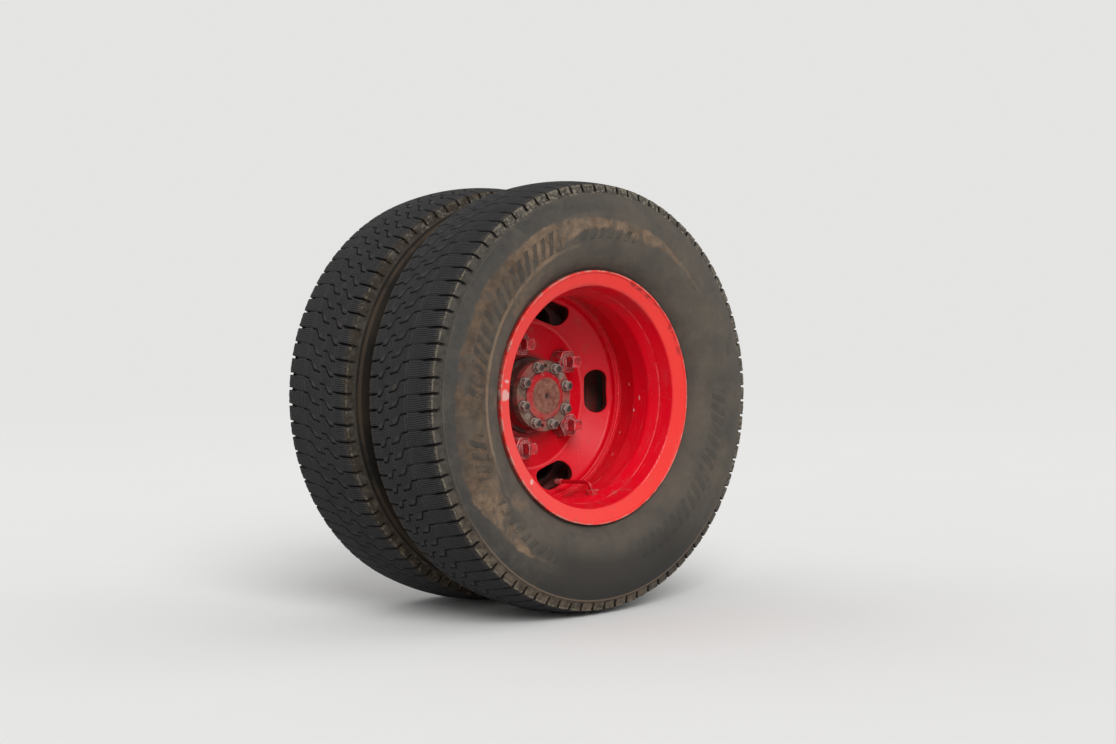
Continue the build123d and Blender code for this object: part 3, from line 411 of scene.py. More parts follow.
class TyreRubber(Finish):
    """Rubber of a tyre. Way is the side of the tyre that faces away from its twin, -1 or 1."""

    def __init__(self, settings, name, centre, way):
        super().__init__(name, specular=0.15)
        self.settings = settings
        self.pitch = self.split(self.node("UVMap", uv_map="tread_map").outputs["UV"])[0]
        self.side = (self.along - centre) * way
        self.off_centre = self.calc("ABSOLUTE", self.side)
        self.depth = TYRE_RADIUS - self.side * self.side * (CROWN_DROP / HALF_TREAD**2) - self.radius
        self.tread = self.step(self.radius, *TREAD_START) * self.step(self.off_centre, *TREAD_SIDE)
        self.strip = self.step(self.radius, *STRIP_START) * self.step(self.radius, *STRIP_END)
        self.blotch = self.noise(9.0, 5.0, 0.62, distortion=0.4)
        self.wave = self.noise(7.0, 3.0, 0.5) - 0.5
        self.fine_wave = self.noise(32.0, 4.0, 0.6) - 0.5
        self.dust_share = 0.30 + self.cloud(14.0, 6.0, 0.66, 0.30, 0.70) * 0.70
        self.sipe_cut = self.band(self.calc("FRACT", self.pitch * settings.sipes), 0.41, 0.59, 0.10)
        blocks = ((33.5, 88.0, 1.0), (-16.0, 23.0, 1.5), (-53.0, -26.0, 1.5), (-88.0, -62.0, 1.0))
        self.sipe = (self.sipe_cut * self.step(self.depth, 2.2, 1.2)
                     * self.most(*(self.band(self.side, *block) for block in blocks)))
        self.mud = self.mud_share()
        self.ribs = self.rib_share()
        wall = self.muddy_wall(self.dusty_wall())
        colour = self.layers(wall, (self.strip, self.strip_colour()), (self.tread, self.tread_colour()))
        roughness = 0.66 + self.most(self.mud, self.dust_share * 0.5, self.tread) * 0.26
        self.finish(self.twin_side(colour), roughness, self.relief(), 0.45)

    def tread_colour(self):
        """Sipes across each block, dark as painted shade, block edges beside the kinks paler as worn rubber
        and painted highlight, and slots and grooves darker as painted shade with grit pressed in.
        """
        dust = self.settings.road_dust
        wear = self.noise(26.0, 4.0, 0.6)
        # Slots and grooves get a darker colour: painted shade, with some grit.
        slot_shade_and_grit = self.blend(self.step(self.blotch, 0.35, 0.75), (0.012, 0.011, 0.010), (0.036, 0.029, 0.023))
        # Paler block edges beside the kinks: worn rubber and a painted highlight.
        rub = (self.band(self.calc("FRACT", self.pitch + 0.62), 0.42, 0.62, 0.12)
               * self.most(self.band(self.side, -8.0, 2.0, 3.0), self.band(self.side, -52.0, -44.0, 3.0))
               * self.step(self.depth, 1.6, 0.8))
        edge_dust = self.step(self.off_centre, 74.0, HALF_TREAD) * self.cloud(120.0, 4.0, 0.65, 0.38, 0.62)
        return self.layers(
            self.mottle(wear, self.settings.rubber, 0.72, 1.35),
            (self.cloud(330.0, 2.0, 0.5, 0.60, 0.74) * 0.5, dust),
            (self.step(self.depth, 1.2, 4.5), slot_shade_and_grit),
            (rub * wear * 0.55, tone(dust, 1.2)),
            (edge_dust * self.step(self.depth, 5.0, 1.5) * 0.70, dust),
            # Sipes painted near black: painted shade in the cuts.
            (self.sipe * 0.95, (0.006, 0.006, 0.006)),
        )

    def dusty_wall(self):
        """Dark rubber under the shoulder, with a film of road dust, laid fully over the side towards the
        light as painted light.
        """
        dust = self.settings.road_dust
        brown_patch = self.cloud(18.0, 6.0, 0.70, 0.48, 0.66, distortion=0.5) * 0.42
        clean = self.layers(self.mottle(self.noise(60.0, 5.0, 0.68), self.settings.sidewall, 0.60, 1.45),
                            (brown_patch, tone(dust, 0.92)))
        film = self.mottle(self.noise(36.0, 6.0, 0.66), dust, 0.74, 1.20)
        # The side towards the light gets the full film, lighter as painted light; the smooth ring stays
        # clean on the other side.
        sunny = self.step(self.calc("COSINE", self.angle - math.radians(18.0)), -0.25, 0.75)
        ruffled = self.radius + (self.wave * 30.0 + self.fine_wave * 18.0)
        upper_film = self.most(sunny * 0.95, self.step(ruffled, 366.0, 336.0))
        smooth_ring = self.band(self.radius, 344.0, 356.0, 5.0) * self.step(sunny, 0.75, 0.35) * 0.55
        return self.layers(clean, (upper_film * self.dust_share, film), (smooth_ring, clean))

    def mud_share(self):
        """Dried mud between two wavy edges."""
        around = self.turned_share(MUD_START)
        inner_rows = [((degrees - MUD_START) / 360.0, inner) for degrees, inner, _ in MUD_EDGES]
        outer_rows = [((degrees - MUD_START) / 360.0, outer) for degrees, _, outer in MUD_EDGES]
        torn = self.radius + (self.fine_wave * 22.0 + self.wave * 14.0)
        under_outer = self.step(self.curve(around, outer_rows, 240.0, 400.0) - torn, -1.5, 4.0)
        over_inner = self.step(torn - self.curve(around, inner_rows, 240.0, 400.0), -2.0, 5.0)
        patches = self.cloud(24.0, 6.0, 0.70, 0.30, 0.56, distortion=0.6)
        return under_outer * over_inner * self.arc(MUD_START + 4.0, 252.0, 6.0) * patches

    def rib_share(self):
        """Rows of plain slanted ribs."""
        round_tyre = self.angle * RIB_RADIUS + self.radius * RIB_SLANT + RIB_SHIFT
        phase = self.calc("FRACT", round_tyre / (FULL_TURN * RIB_RADIUS / RIB_COUNT))
        bar = self.band(phase + (self.noise(85.0, 4.0, 0.65) - 0.5) * 0.42, 0.22, 0.62, 0.10)
        worn_radius = self.radius + self.fine_wave * 8.0
        rows = [self.band(worn_radius, inner, outer, 1.4) * self.arc(start, end)
                for start, end, inner, outer in RIB_ROWS]
        return self.most(*rows) * bar

    def muddy_wall(self, wall):
        """Mud, darker on one side as painted shade, ribs that stand out of it, a drift beside the rim,
        stains, scuffs, and painted shade on the foot near the ground.
        """
        mud, rubber = self.settings.dry_mud, self.settings.sidewall
        mud_colour = self.mottle(self.cloud(52.0, 6.0, 0.72, 0.25, 0.75), mud, 0.50, 1.20)
        # Mud darkened between 120 and 212 degrees: painted shade.
        mud_colour = self.shade(mud_colour, 1.0 - self.arc(120.0, 212.0, 14.0) * 0.40)
        bare_ribs = self.ribs * self.cloud(34.0, 5.0, 0.68, 0.34, 0.54) * 0.88
        drift = (self.band(self.radius + self.fine_wave * 5.0, 284.5, 288.0, 3.4)
                 * self.arc(96.0, 214.0, 20.0) * self.cloud(22.0, 6.0, 0.70, 0.30, 0.56))
        low_stain = (self.cloud(15.0, 5.0, 0.62, 0.50, 0.66) * self.band(self.radius, 256.0, 290.0, 6.0)
                     * self.arc(100.0, 250.0, 20.0) * 0.75)
        scuff = (self.cloud(16.0, 4.0, 0.6, 0.58, 0.68, place=self.stretched(1.3, 1.0, 1.0))
                 * self.band(self.radius, 290.0, 335.0, 6.0) * 0.45)
        # Foot of the wall near the ground made darker than the rubber: painted shade.
        ground_shade = self.arc(228.0, 322.0, 26.0) * self.step(self.radius, 258.0, 312.0) * 0.88
        ring_line = self.band(self.radius, 372.4, 374.2, 0.8)
        return self.layers(
            wall,
            (self.mud * 0.90, mud_colour),
            (bare_ribs * (0.50 + self.mud * 0.42), tone(rubber, 0.90)),
            (drift * 0.64, tone(mud, 1.25)),
            (low_stain, tone(mud, 0.80)),
            (scuff, rubber),
            (ground_shade, tone(rubber, 0.72)),
            (ring_line * (0.10 + self.arc(208.0, 330.0, 20.0) * 0.50), mud),
        )

    def strip_colour(self):
        """Shoulder strip: slots and cuts painted dark as painted shade in brown dust, with a broken pale
        painted highlight along the edge beside the tread.
        """
        film = self.blend(self.arc(196.0, 300.0, 22.0), (0.064, 0.058, 0.050), (0.122, 0.092, 0.066))
        crumbs = self.cloud(165.0, 5.0, 0.70, 0.48, 0.60) * self.arc(-50.0, 145.0, 30.0)
        # Broken pale band beside the tread: painted highlight.
        edge_highlight = self.band(self.radius, 389.6, 393.0, 0.8) * self.cloud(120.0, 5.0, 0.70, 0.40, 0.56)
        slot_share = SLOT_WIDTHS["strip"] * self.settings.slot_width / pitch_length(self.settings)
        in_slot = self.band(self.calc("FRACT", self.pitch + 0.02), 0.03, slot_share, 0.02)
        return self.layers(
            (0.036, 0.031, 0.025),
            (self.cloud(75.0, 5.0, 0.62, 0.30, 0.66) * 0.85, film),
            (crumbs * 0.75, (0.205, 0.176, 0.132)),
            (edge_highlight * 0.75, (0.205, 0.175, 0.128)),
            # Slots and cuts painted near black: painted shade.
            (in_slot * self.step(self.radius, 377.0, 381.0), (0.012, 0.011, 0.010)),
            (self.sipe_cut * self.step(self.radius, 386.5, 391.0) * 0.60, (0.018, 0.016, 0.015)),
        )

    def twin_side(self, colour):
        """The tyre's other side, painted dark as painted shade between the twins, with a muddy line and a
        shoulder darkened as painted shade.
        """
        mud = self.settings.dry_mud
        inward = self.step(self.side, -86.0, -88.5)
        # Near-black sheet between the twins, with a little mud: painted shade.
        twin_gap_shade = self.blend(self.step(self.blotch, 0.35, 0.80), (0.007, 0.006, 0.005), tone(mud, 0.15))
        line = self.band(self.radius, 366.0, 370.0, 1.5) * inward * self.step(self.blotch, 0.30, 0.50)
        # Shoulder strip on this side darkened: painted shade.
        shoulder = (self.strip * self.step(self.side, -80.0, -86.0)
                    * self.cloud(64.0, 4.0, 0.66, 0.62, 0.44) * 0.90)
        return self.layers(
            colour,
            (inward * self.step(self.radius, 377.0, 374.0) * 0.96, twin_gap_shade),
            (line * 0.60, tone(mud, 0.34)),
            (shoulder, (0.030, 0.023, 0.016)),
        )

    def relief(self):
        """Grain, crumbs, mud and ribs that stand out, sipes and gouges that are cut in, and fine rings."""
        rings = self.calc("SINE", self.radius * (FULL_TURN / 2.4)) * 0.25
        return (self.noise(900.0, 3.0, 0.6) * 0.16 + self.noise(240.0, 4.0, 0.6) * 0.40
                + self.mud * (self.noise(70.0, 5.0, 0.7) * 1.6) + self.ribs * 2.2 - self.sipe * 1.5
                - self.cloud(48.0, 2.0, 0.5, 0.68, 0.78) * self.strip * 0.8
                + self.band(self.radius, 254.0, 262.0, 1.0) * rings)


# Larger chips of the rim: angle in degrees, place along the axle, length round it and width in mm
RIM_CHIPS = (
    (4.0, -382.0, 3.5, 2.0),
    (-3.5, -415.0, 5.0, 1.6),
    (-11.0, -402.0, 3.0, 2.2),
    (-24.0, -366.0, 2.4, 2.4),
    (-38.0, -372.0, 3.2, 1.8),
    (-61.0, -395.0, 14.0, 1.2),
    (-72.0, -430.0, 4.0, 2.0),
    (176.0, -494.0, 9.0, 5.5),
    (169.5, -493.0, 3.0, 2.5),
    (222.0, -492.0, 4.0, 1.8),
)

# Rim radii in mm: the barrel, where the lip begins, where the barrel ends and the rolled outer edge
BARREL_RADIUS = 200.0
LIP_START = (204.0, 209.0)
BARREL_END = (214.0, 206.0)
ROLLED_EDGE = (231.0, 233.4)

# Places from the rim's outer edge in mm: the ridge in the barrel, and the valve's stem under its cap
RIDGE = (RIM_EDGE + 37.8, RIM_EDGE + 39.6)
STEM_END = (RIM_EDGE + 149.0, RIM_EDGE + 144.0)

# Disc radii in mm: the cone, the belt of the hand holes, and the crease between flat and cone
CONE = (146.0, 184.0)
HOLE_BELT = (144.0, 188.5)
CREASE = (139.5, 142.0)

# Half shaft in mm: radii of the boss, its bare end and its centre hole, and start of the splines along it
BOSS_EDGE = (47.0, 45.0)
BARE_END = (39.0, 36.5)
CENTRE_HOLE = (7.5, 4.2)
SPLINE_START = (320.0, 326.0)


def rim_enamel(settings, name, film):
    """Red enamel of a rim: faded on the lip, deep in the barrel, with chips, scuffs and dust, a painted
    highlight along the ridge, and painted shade at the top of the barrel and in its corners.
    Film is the share of dark brown road film and painted shade over it, or 0 where only the rim's back has
    it."""
    f = Finish(name, specular=0.24, coat=0.06, coat_roughness=0.22)
    barrel = f.step(f.radius, *BARREL_END)
    faded = f.blend(f.noise(13.0, 5.0, 0.62), settings.faded, (0.70, 0.026, 0.022))
    chalk = f.cloud(11.0, 5.0, 0.66, 0.50, 0.78, distortion=0.5) * f.step(f.radius, 212.0, 200.0) * 0.20
    # Lighter band along the ridge: painted highlight.
    ridge = f.band(f.along, *RIDGE, 0.8) * f.cloud(30.0, 4.0, 0.6, 0.36, 0.60)
    scuffed = (f.cloud(1.0, 4.0, 0.6, 0.56, 0.72, place=f.stretched(9.0, 420.0, 9.0))
               * f.cloud(9.0, 3.0, 0.6, 0.44, 0.62) * f.step(f.z, 150.0, -60.0) * barrel)
    dusted = f.cloud(26.0, 6.0, 0.72, 0.50, 0.74, place=f.stretched(1.0, 2.6, 1.0)) * barrel
    # Top of the barrel darker: painted shade.
    upper = f.step(f.z, 110.0, 190.0) * barrel * f.cloud(17.0, 5.0, 0.66, 0.34, 0.62)
    chips = f.cloud(420.0, 2.0, 0.5, 0.71, 0.75) * f.cloud(24.0, 2.0, 0.5, 0.46, 0.62)
    ragged = (f.noise(260.0, 3.0, 0.6) - 0.5) * 1.1
    for degrees, along, long_way, wide_way in RIM_CHIPS:
        distance = f.spot_distance(degrees, BARREL_RADIUS, along, long_way, wide_way) + ragged
        chips = f.most(chips, f.step(distance, 1.05, 0.85))
    worn = f.worn_edges(1.6) * f.cloud(60.0, 4.0, 0.6, 0.30, 0.55)
    rolled_edge = f.step(f.radius, *ROLLED_EDGE)
    rubbed = (f.band(f.radius, 226.0, 230.5, 1.5) * f.arc(12.0, 74.0, 10.0)
              * f.cloud(52.0, 5.0, 0.72, 0.46, 0.58))
    dirt = f.cloud(46.0, 5.0, 0.65, 0.56, 0.72) * f.step(f.z, -60.0, -170.0) * 0.35
    # Back of the rim behind the disc, and the whole rim through film, under dark brown road film and painted
    # shade.
    behind = f.step(f.along, OUTER_WELD + 3.0, OUTER_WELD + 8.0) * 0.95
    road_film_and_shade = (0.62 + f.cloud(14.0, 6.0, 0.68, 0.34, 0.66) * 0.38) * (film or behind)
    colour = f.layers(
        f.mottle(f.noise(8.0, 4.0, 0.6), settings.enamel, 0.82, 1.15),
        (f.step(f.radius, *LIP_START), faded),
        (chalk, settings.pink_dust),
        (ridge * 0.45, (0.80, 0.16, 0.15)),
        (scuffed * 0.50, (0.800, 0.150, 0.150)),
        (dusted * 0.30, (0.420, 0.050, 0.052)),
        (upper * 0.55, (0.300, 0.030, 0.030)),
        (chips * 0.85, settings.primer),
        (worn * 0.55, (0.90, 0.30, 0.26)),
        (rolled_edge * f.cloud(44.0, 5.0, 0.70, 0.42, 0.60) * 0.70, (0.460, 0.270, 0.220)),
        (rolled_edge * f.cloud(31.0, 4.0, 0.66, 0.52, 0.66) * 0.75, (0.090, 0.020, 0.018)),
        (rubbed * 0.85, (0.260, 0.018, 0.020)),
        # Dark colour in corners: painted shade.
        (f.corners(9.0, 0.15, 0.62) * 0.55, (0.105, 0.018, 0.016)),
        (dirt, (0.22, 0.10, 0.075)),
        (road_film_and_shade, f.blend(f.noise(60.0, 4.0, 0.6), (0.030, 0.017, 0.014), (0.090, 0.062, 0.048))),
    )
    roughness = 0.30 + f.most(chalk, chips, dirt, road_film_and_shade, scuffed) * 0.45
    return f.finish(colour, roughness, f.noise(150.0, 3.0, 0.5) * 0.22 - chips * 0.6, 0.20)


def disc_enamel(settings, name, film):
    """Red enamel of a disc: chalky cone, deep flat, a painted highlight along the crease, painted shade with
    grime round the nuts and on the walls of the hand holes, painted shade in its corners, and darker brown
    towards the pilot.
    Film is the share of dark brown road film and painted shade over it, or 0 where only the disc's back has
    it."""
    f = Finish(name, specular=0.20, coat=0.04, coat_roughness=0.24)
    wave = f.radius + (f.noise(16.0, 3.0, 0.5) - 0.5) * 10.0
    chalky = f.band(wave, *CONE, 5.0) * (0.03 + f.cloud(9.0, 5.0, 0.62, 0.40, 0.75) * 0.13)
    spiral = f.feed_all(f.node("CombineXYZ"), {"X": f.radius * 0.42, "Y": f.angle * 1.4}).outputs[0]
    # Dark ring round the wheel nuts: painted shade, with grime.
    nut_shade_and_grime = f.pattern_distance(*STUDS) + (f.noise(70.0, 3.0, 0.6) - 0.5) * 14.0
    # Darker brown towards the pilot.
    pilot = f.step(wave, 88.0, 74.0) * 0.72
    specks = f.cloud(380.0, 2.0, 0.5, 0.70, 0.75) * f.cloud(22.0, 2.0, 0.5, 0.45, 0.65)
    worn = f.worn_edges(1.8) * f.cloud(60.0, 4.0, 0.6, 0.25, 0.55)
    dirt = f.cloud(38.0, 5.0, 0.65, 0.55, 0.74) * 0.30
    facing = f.facing_along()
    # Walls of the hand holes near black: painted shade, with dirt.
    hole_wall_shade_and_dirt = f.step(f.calc("ABSOLUTE", facing), 0.42, 0.18) * f.band(f.radius, *HOLE_BELT, 0.5)
    # Back of the disc, and the whole disc through film, under dark brown road film and painted shade.
    behind = f.step(facing, 0.15, 0.40) * 0.95
    road_film_and_shade = (0.80 + f.cloud(14.0, 6.0, 0.68, 0.34, 0.66) * 0.20) * (film or behind)
    colour = f.layers(
        f.mottle(f.noise(10.0, 4.0, 0.6), settings.enamel, 0.76, 1.05),
        (chalky, settings.pink_dust),
        (f.cloud(1.0, 4.0, 0.6, 0.52, 0.74, place=spiral) * 0.14, settings.pink_dust),
        (f.step(nut_shade_and_grime, 29.0, 19.0) * 0.76, (0.060, 0.008, 0.009)),
        (pilot, (0.120, 0.030, 0.026)),
        # Lighter line along the crease: painted highlight.
        (f.band(f.radius, *CREASE, 2.0) * 0.28, (0.85, 0.13, 0.13)),
        (specks * 0.7, settings.primer),
        (worn * 0.6, (0.84, 0.22, 0.20)),
        # Dark colour in corners: painted shade.
        (f.corners(12.0, 0.15, 0.60) * 0.6, (0.085, 0.014, 0.014)),
        (dirt, (0.24, 0.10, 0.08)),
        (hole_wall_shade_and_dirt * 0.96, (0.018, 0.008, 0.007)),
        (road_film_and_shade, f.blend(f.noise(60.0, 4.0, 0.6), (0.014, 0.008, 0.007), (0.052, 0.030, 0.024))),
    )
    roughness = 0.34 + f.most(chalky, dirt, pilot, road_film_and_shade) * 0.40
    return f.finish(colour, roughness, f.noise(130.0, 3.0, 0.5) * 0.45 - specks * 0.5, 0.22)


def nut_finish(paint, name, red_share):
    """Wheel nut: red paint worn to pale steel on its edges, with grey dust on its faces."""
    f = Finish(name)
    patch = f.cloud(75.0, 4.0, 0.62, 0.62 - red_share * 0.4, 0.80 - red_share * 0.4)
    dusty = f.blend(f.cloud(120.0, 5.0, 0.70, 0.30, 0.70), (0.045, 0.018, 0.016), (0.340, 0.170, 0.150))
    rub = f.noise(120.0, 4.0, 0.66)
    fine = f.worn_edges(1.5, 0.012, 0.08) * f.step(rub, 0.36, 0.46)
    broad = f.worn_edges(3.6, 0.006, 0.10) * f.step(rub, 0.52, 0.62) * (1.2 - 0.9 * red_share)
    worn = f.most(fine, broad)
    colour = f.layers(
        f.mottle(f.cloud(85.0, 4.0, 0.66, 0.30, 0.66), paint.enamel, 0.26, 1.05),
        (patch * (1.15 - red_share), dusty),
        (f.cloud(330.0, 2.0, 0.5, 0.56, 0.64) * 0.7, (0.055, 0.010, 0.010)),
        # Dark colour in corners: painted shade.
        (f.corners(10.0, 0.2, 0.85) * 0.92, (0.022, 0.006, 0.006)),
        (worn * 0.90, (0.780, 0.560, 0.520)),
    )
    return f.finish(colour, 0.36 + patch * 0.30, f.noise(420.0, 3.0, 0.6) * 0.6, 0.16, worn * 0.20)


def flange_colour(f, paint):
    """Drive flange dusty over worn red, with painted shade round its nuts and along the boss's edge, and a
    red boss that has a bare beige end.
    """
    dusty = f.blend(f.cloud(90.0, 5.0, 0.70, 0.25, 0.75), (0.092, 0.056, 0.042), (0.225, 0.146, 0.108))
    low_dust = f.step(f.z, 12.0, -26.0) * f.cloud(46.0, 5.0, 0.66, 0.34, 0.60) * 0.70
    boss = f.layers(
        f.mottle(f.noise(35.0), paint.enamel, 0.40, 0.75),
        (f.cloud(60.0, 5.0, 0.62, 0.46, 0.70), f.blend(0.5, dusty, paint.pink_dust)),
        (low_dust, (0.340, 0.130, 0.105)),
    )
    return f.layers(
        dusty,
        (f.cloud(21.0, 4.0, 0.58, 0.43, 0.56) * 0.72, (0.330, 0.048, 0.046)),
        # Dark ring round the flange nuts: painted shade.
        (f.step(f.pattern_distance(*FLANGE_STUDS), 13.5, 10.5) * 0.62, (0.036, 0.016, 0.013)),
        (f.step(f.radius, *BOSS_EDGE), boss),
        # Dark line at the boss's edge: painted shade of its step.
        (f.band(f.radius, 45.6, 47.4, 0.6) * 0.80, (0.075, 0.009, 0.009)),
    )


def shaft_finish(paint, metal):
    """Half shaft: painted and dusty outboard, forged scale on the shaft, bright splines."""
    f = Finish("half_shaft_forging", specular=0.28)
    end = f.step(f.radius + f.noise(60.0, 4.0, 0.66) * 7.0, *BARE_END)
    beige = f.blend(f.cloud(75.0, 6.0, 0.72, 0.30, 0.70), (0.240, 0.122, 0.080), (0.120, 0.034, 0.027))
    flange = f.layers(
        flange_colour(f, paint),
        (end, beige),
        # Centre hole painted dark: painted shade.
        (f.step(f.radius, *CENTRE_HOLE) * 0.9, (0.050, 0.022, 0.018)),
    )
    outboard = f.step(f.along, HUB_NOSE + 4.0, HUB_NOSE - 2.0)
    spline = f.step(f.along, *SPLINE_START)
    scale = f.blend(f.noise(60.0, 5.0, 0.65), (0.060, 0.046, 0.038), (0.150, 0.085, 0.052))
    bright = f.blend(f.noise(240.0, 3.0, 0.6), (0.34, 0.32, 0.29), (0.50, 0.48, 0.45))
    worn = f.worn_edges(1.2) * f.cloud(120.0, 3.0, 0.6, 0.35, 0.6)
    colour = f.layers(
        scale,
        (spline, bright),
        (outboard, flange),
        # Dark colour in corners: painted shade.
        (f.corners(6.0) * outboard * 0.7, (0.055, 0.024, 0.020)),
        (worn * 0.5, metal.worn_steel),
    )
    turned = f.calc("SINE", f.radius * (FULL_TURN / 1.3)) * end * 0.10
    height = f.noise(170.0, 5.0, 0.7) * 0.9 + turned
    return f.finish(colour, 0.68 - spline * 0.34, height, 0.40, spline * 0.8)


def hub_finish(paint, metal):
    """Hub casting: brown-black with oily dust, red paint left on the lower half of its neck."""
    f = Finish("hub_casting")
    lower = f.step(f.z + f.noise(24.0, 4.0, 0.6) * 40.0, 5.0, -25.0)
    worn = f.worn_edges(1.6) * f.cloud(120.0, 3.0, 0.6, 0.38, 0.62)
    colour = f.layers(
        f.blend(f.noise(45.0, 5.0, 0.65), (0.030, 0.014, 0.012), (0.105, 0.052, 0.042)),
        (lower * f.cloud(40.0, 4.0, 0.6, 0.34, 0.60), f.mottle(f.noise(35.0), paint.enamel, 0.30, 0.62)),
        (f.cloud(80.0, 5.0, 0.66, 0.54, 0.70) * 0.6, metal.grey_dust),
        (worn * 0.55, metal.worn_steel),
    )
    return f.finish(colour, 0.66, f.noise(210.0, 5.0, 0.7), 0.45)


def fastener_finish(metal, name, circle, core):
    """Plated nuts and studs: pale worn rims, dark threads within the core radius, rust and dust between."""
    f = Finish(name, specular=0.30)
    distance = f.pattern_distance(*circle)
    worn = (f.worn_edges(1.1, 0.015, 0.10) * f.step(distance, core - 0.5, core + 0.8)
            * f.cloud(200.0, 3.0, 0.6, 0.20, 0.42))
    colour = f.layers(
        f.blend(f.noise(190.0, 4.0, 0.6), (0.105, 0.092, 0.076), (0.260, 0.232, 0.196)),
        (f.cloud(130.0, 4.0, 0.65, 0.44, 0.66), tone(metal.grey_dust, 0.62)),
        (f.cloud(260.0, 2.0, 0.5, 0.56, 0.66) * 0.7, metal.rust),
        (f.step(distance, core + 0.6, core - 0.4) * 0.95, (0.024, 0.016, 0.013)),
        # Dark colour in corners: painted shade.
        (f.corners(5.0) * 0.6, (0.055, 0.026, 0.022)),
        (worn, metal.worn_steel),
    )
    return f.finish(colour, 0.44, f.noise(520.0, 3.0, 0.6) * 0.6, 0.14, worn * 0.4)


def iron_finish(metal, name, rust_share, machined, light=1.0):
    """Cast iron: rough skin, rust in clouds, turning marks where it is machined. Light below 1 darkens the
    whole colour.
    """
    f = Finish(name)
    share = f.cloud(17.0, 6.0, 0.68, 0.72 - rust_share * 0.5, 0.92 - rust_share * 0.5, distortion=0.4)
    worn = f.worn_edges(1.4) * f.cloud(120.0, 3.0, 0.6, 0.40, 0.62)
    colour = f.layers(
        f.mottle(f.noise(70.0, 5.0, 0.66), metal.iron, 0.6, 1.35),
        (share, f.mottle(f.noise(110.0, 5.0, 0.66), metal.rust, 0.55, 1.5)),
        (f.cloud(30.0, 4.0, 0.6, 0.52, 0.70) * 0.5, metal.grey_dust),
        (worn * 0.4, metal.worn_steel),
    )
    turned = f.calc("SINE", f.along * (FULL_TURN / 1.6)) * machined
    return f.finish(f.shade(colour, light), 0.80, f.noise(230.0, 5.0, 0.72) + turned, 0.40)


def chassis_finish(metal, name):
    """Black chassis paint: satin, with road dust on top, and rust where it is worn off the edges."""
    f = Finish(name, specular=0.45)
    film = 0.10 + f.cloud(19.0, 6.0, 0.68, 0.40, 0.74) * 0.50
    rusty = f.cloud(55.0, 5.0, 0.7, 0.60, 0.68) * 0.85
    worn = f.worn_edges(1.8) * f.cloud(90.0, 4.0, 0.65, 0.40, 0.60)
    colour = f.layers(
        f.mottle(f.noise(20.0, 4.0, 0.6), metal.chassis_black, 0.8, 1.6),
        (film, tone(metal.grey_dust, 0.55)),
        (rusty, f.mottle(f.noise(160.0), metal.rust, 1.0, 0.45)),
        (worn * 0.8, metal.rust),
    )
    height = f.noise(190.0, 4.0, 0.65) * 0.5 + rusty * 0.4
    return f.finish(colour, 0.34 + f.most(film, rusty) * 0.5, height, 0.30)


def valve_finish(paint, metal):
    """Valve: red overspray on its stem, bare grey metal on its cap and nut."""
    f = Finish("valve_plate")
    stem = f.step(f.along, *STEM_END)
    painted = f.most(stem, 0.30) * f.cloud(150.0, 4.0, 0.62, 0.86, 0.72)
    colour = f.layers(
        f.blend(f.noise(300.0, 3.0, 0.6), (0.20, 0.18, 0.17), (0.42, 0.40, 0.37)),
        (painted, f.mottle(f.noise(90.0), paint.enamel, 0.50, 0.90)),
        # Dark colour in corners: painted shade.
        (f.corners(5.0) * 0.6, (0.060, 0.020, 0.018)),
        (f.worn_edges(0.8) * 0.6, metal.worn_steel),
    )
    return f.finish(colour, 0.38, f.noise(500.0, 3.0, 0.6) * 0.5, 0.10, 0.75 - painted * 0.75)


def pipe_finish(metal):
    """Plated brake pipe with rust blooms and dust."""
    f = Finish("brake_pipe_plate")
    colour = f.layers(
        f.blend(f.noise(120.0, 4.0, 0.6), (0.22, 0.20, 0.17), (0.40, 0.37, 0.31)),
        (f.cloud(70.0, 5.0, 0.66, 0.50, 0.66) * 0.85, metal.rust),
        (f.cloud(40.0, 3.0, 0.6, 0.45, 0.7) * 0.5, tone(metal.grey_dust, 0.5)),
    )
    return f.finish(colour, 0.5, f.noise(300.0, 4.0, 0.6), 0.12, 0.35)


def rubber_plug_finish(metal):
    """Black rubber of plugs and caps, greyed by dust."""
    f = Finish("moulded_rubber")
    colour = f.layers(
        f.blend(f.noise(80.0, 4.0, 0.6), (0.014, 0.014, 0.014), (0.040, 0.038, 0.036)),
        (f.cloud(60.0, 5.0, 0.65, 0.48, 0.70) * 0.5, metal.grey_dust),
    )
    return f.finish(colour, 0.76, f.noise(400.0, 4.0, 0.6), 0.15)


# Mesh helpers


def add_mesh(name, points, faces, sharp_degrees, body, slot, material, uv=None):
    """Makes a piece from points in mm, smooth but for its sharp edges, and puts it on its body. The slot is
    not used.
    """
    mesh = bpy.data.meshes.new(name)
    mesh.from_pydata((np.asarray(points, float) * MM).tolist(), [], faces.tolist())
    mesh.validate()
    mesh.shade_smooth()
    mesh.set_sharp_from_angle(angle=math.radians(sharp_degrees))
    if uv is not None:
        layer = mesh.uv_layers.new(name="tread_map")
        layer.data.foreach_set("uv", np.asarray(uv, np.float32).ravel())
    mesh.materials.append(material)
    piece = bpy.data.objects.new(name, mesh)
    bpy.context.scene.collection.objects.link(piece)
    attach(piece, body)
    return piece


def grid_faces(rows, columns, closed, way):
    """Quads of a grid whose rows go round a piece. Closed joins its last column to its first, and a way
    above 0 turns the quads over."""
    i, j = np.meshgrid(np.arange(rows), np.arange(columns if closed else columns - 1), indexing="ij")
    i, j = i.ravel(), j.ravel()
    following, beside = (i + 1) % rows, (j + 1) % columns
    here, ahead = i * columns, following * columns
    quads = np.stack([here + j, here + beside, ahead + beside, ahead + j], 1)
    return quads[:, ::-1] if way > 0 else quads


def angles_round(segments):
    """Angles of a full turn as a column."""
    return np.linspace(0, FULL_TURN, segments, endpoint=False)[:, None]


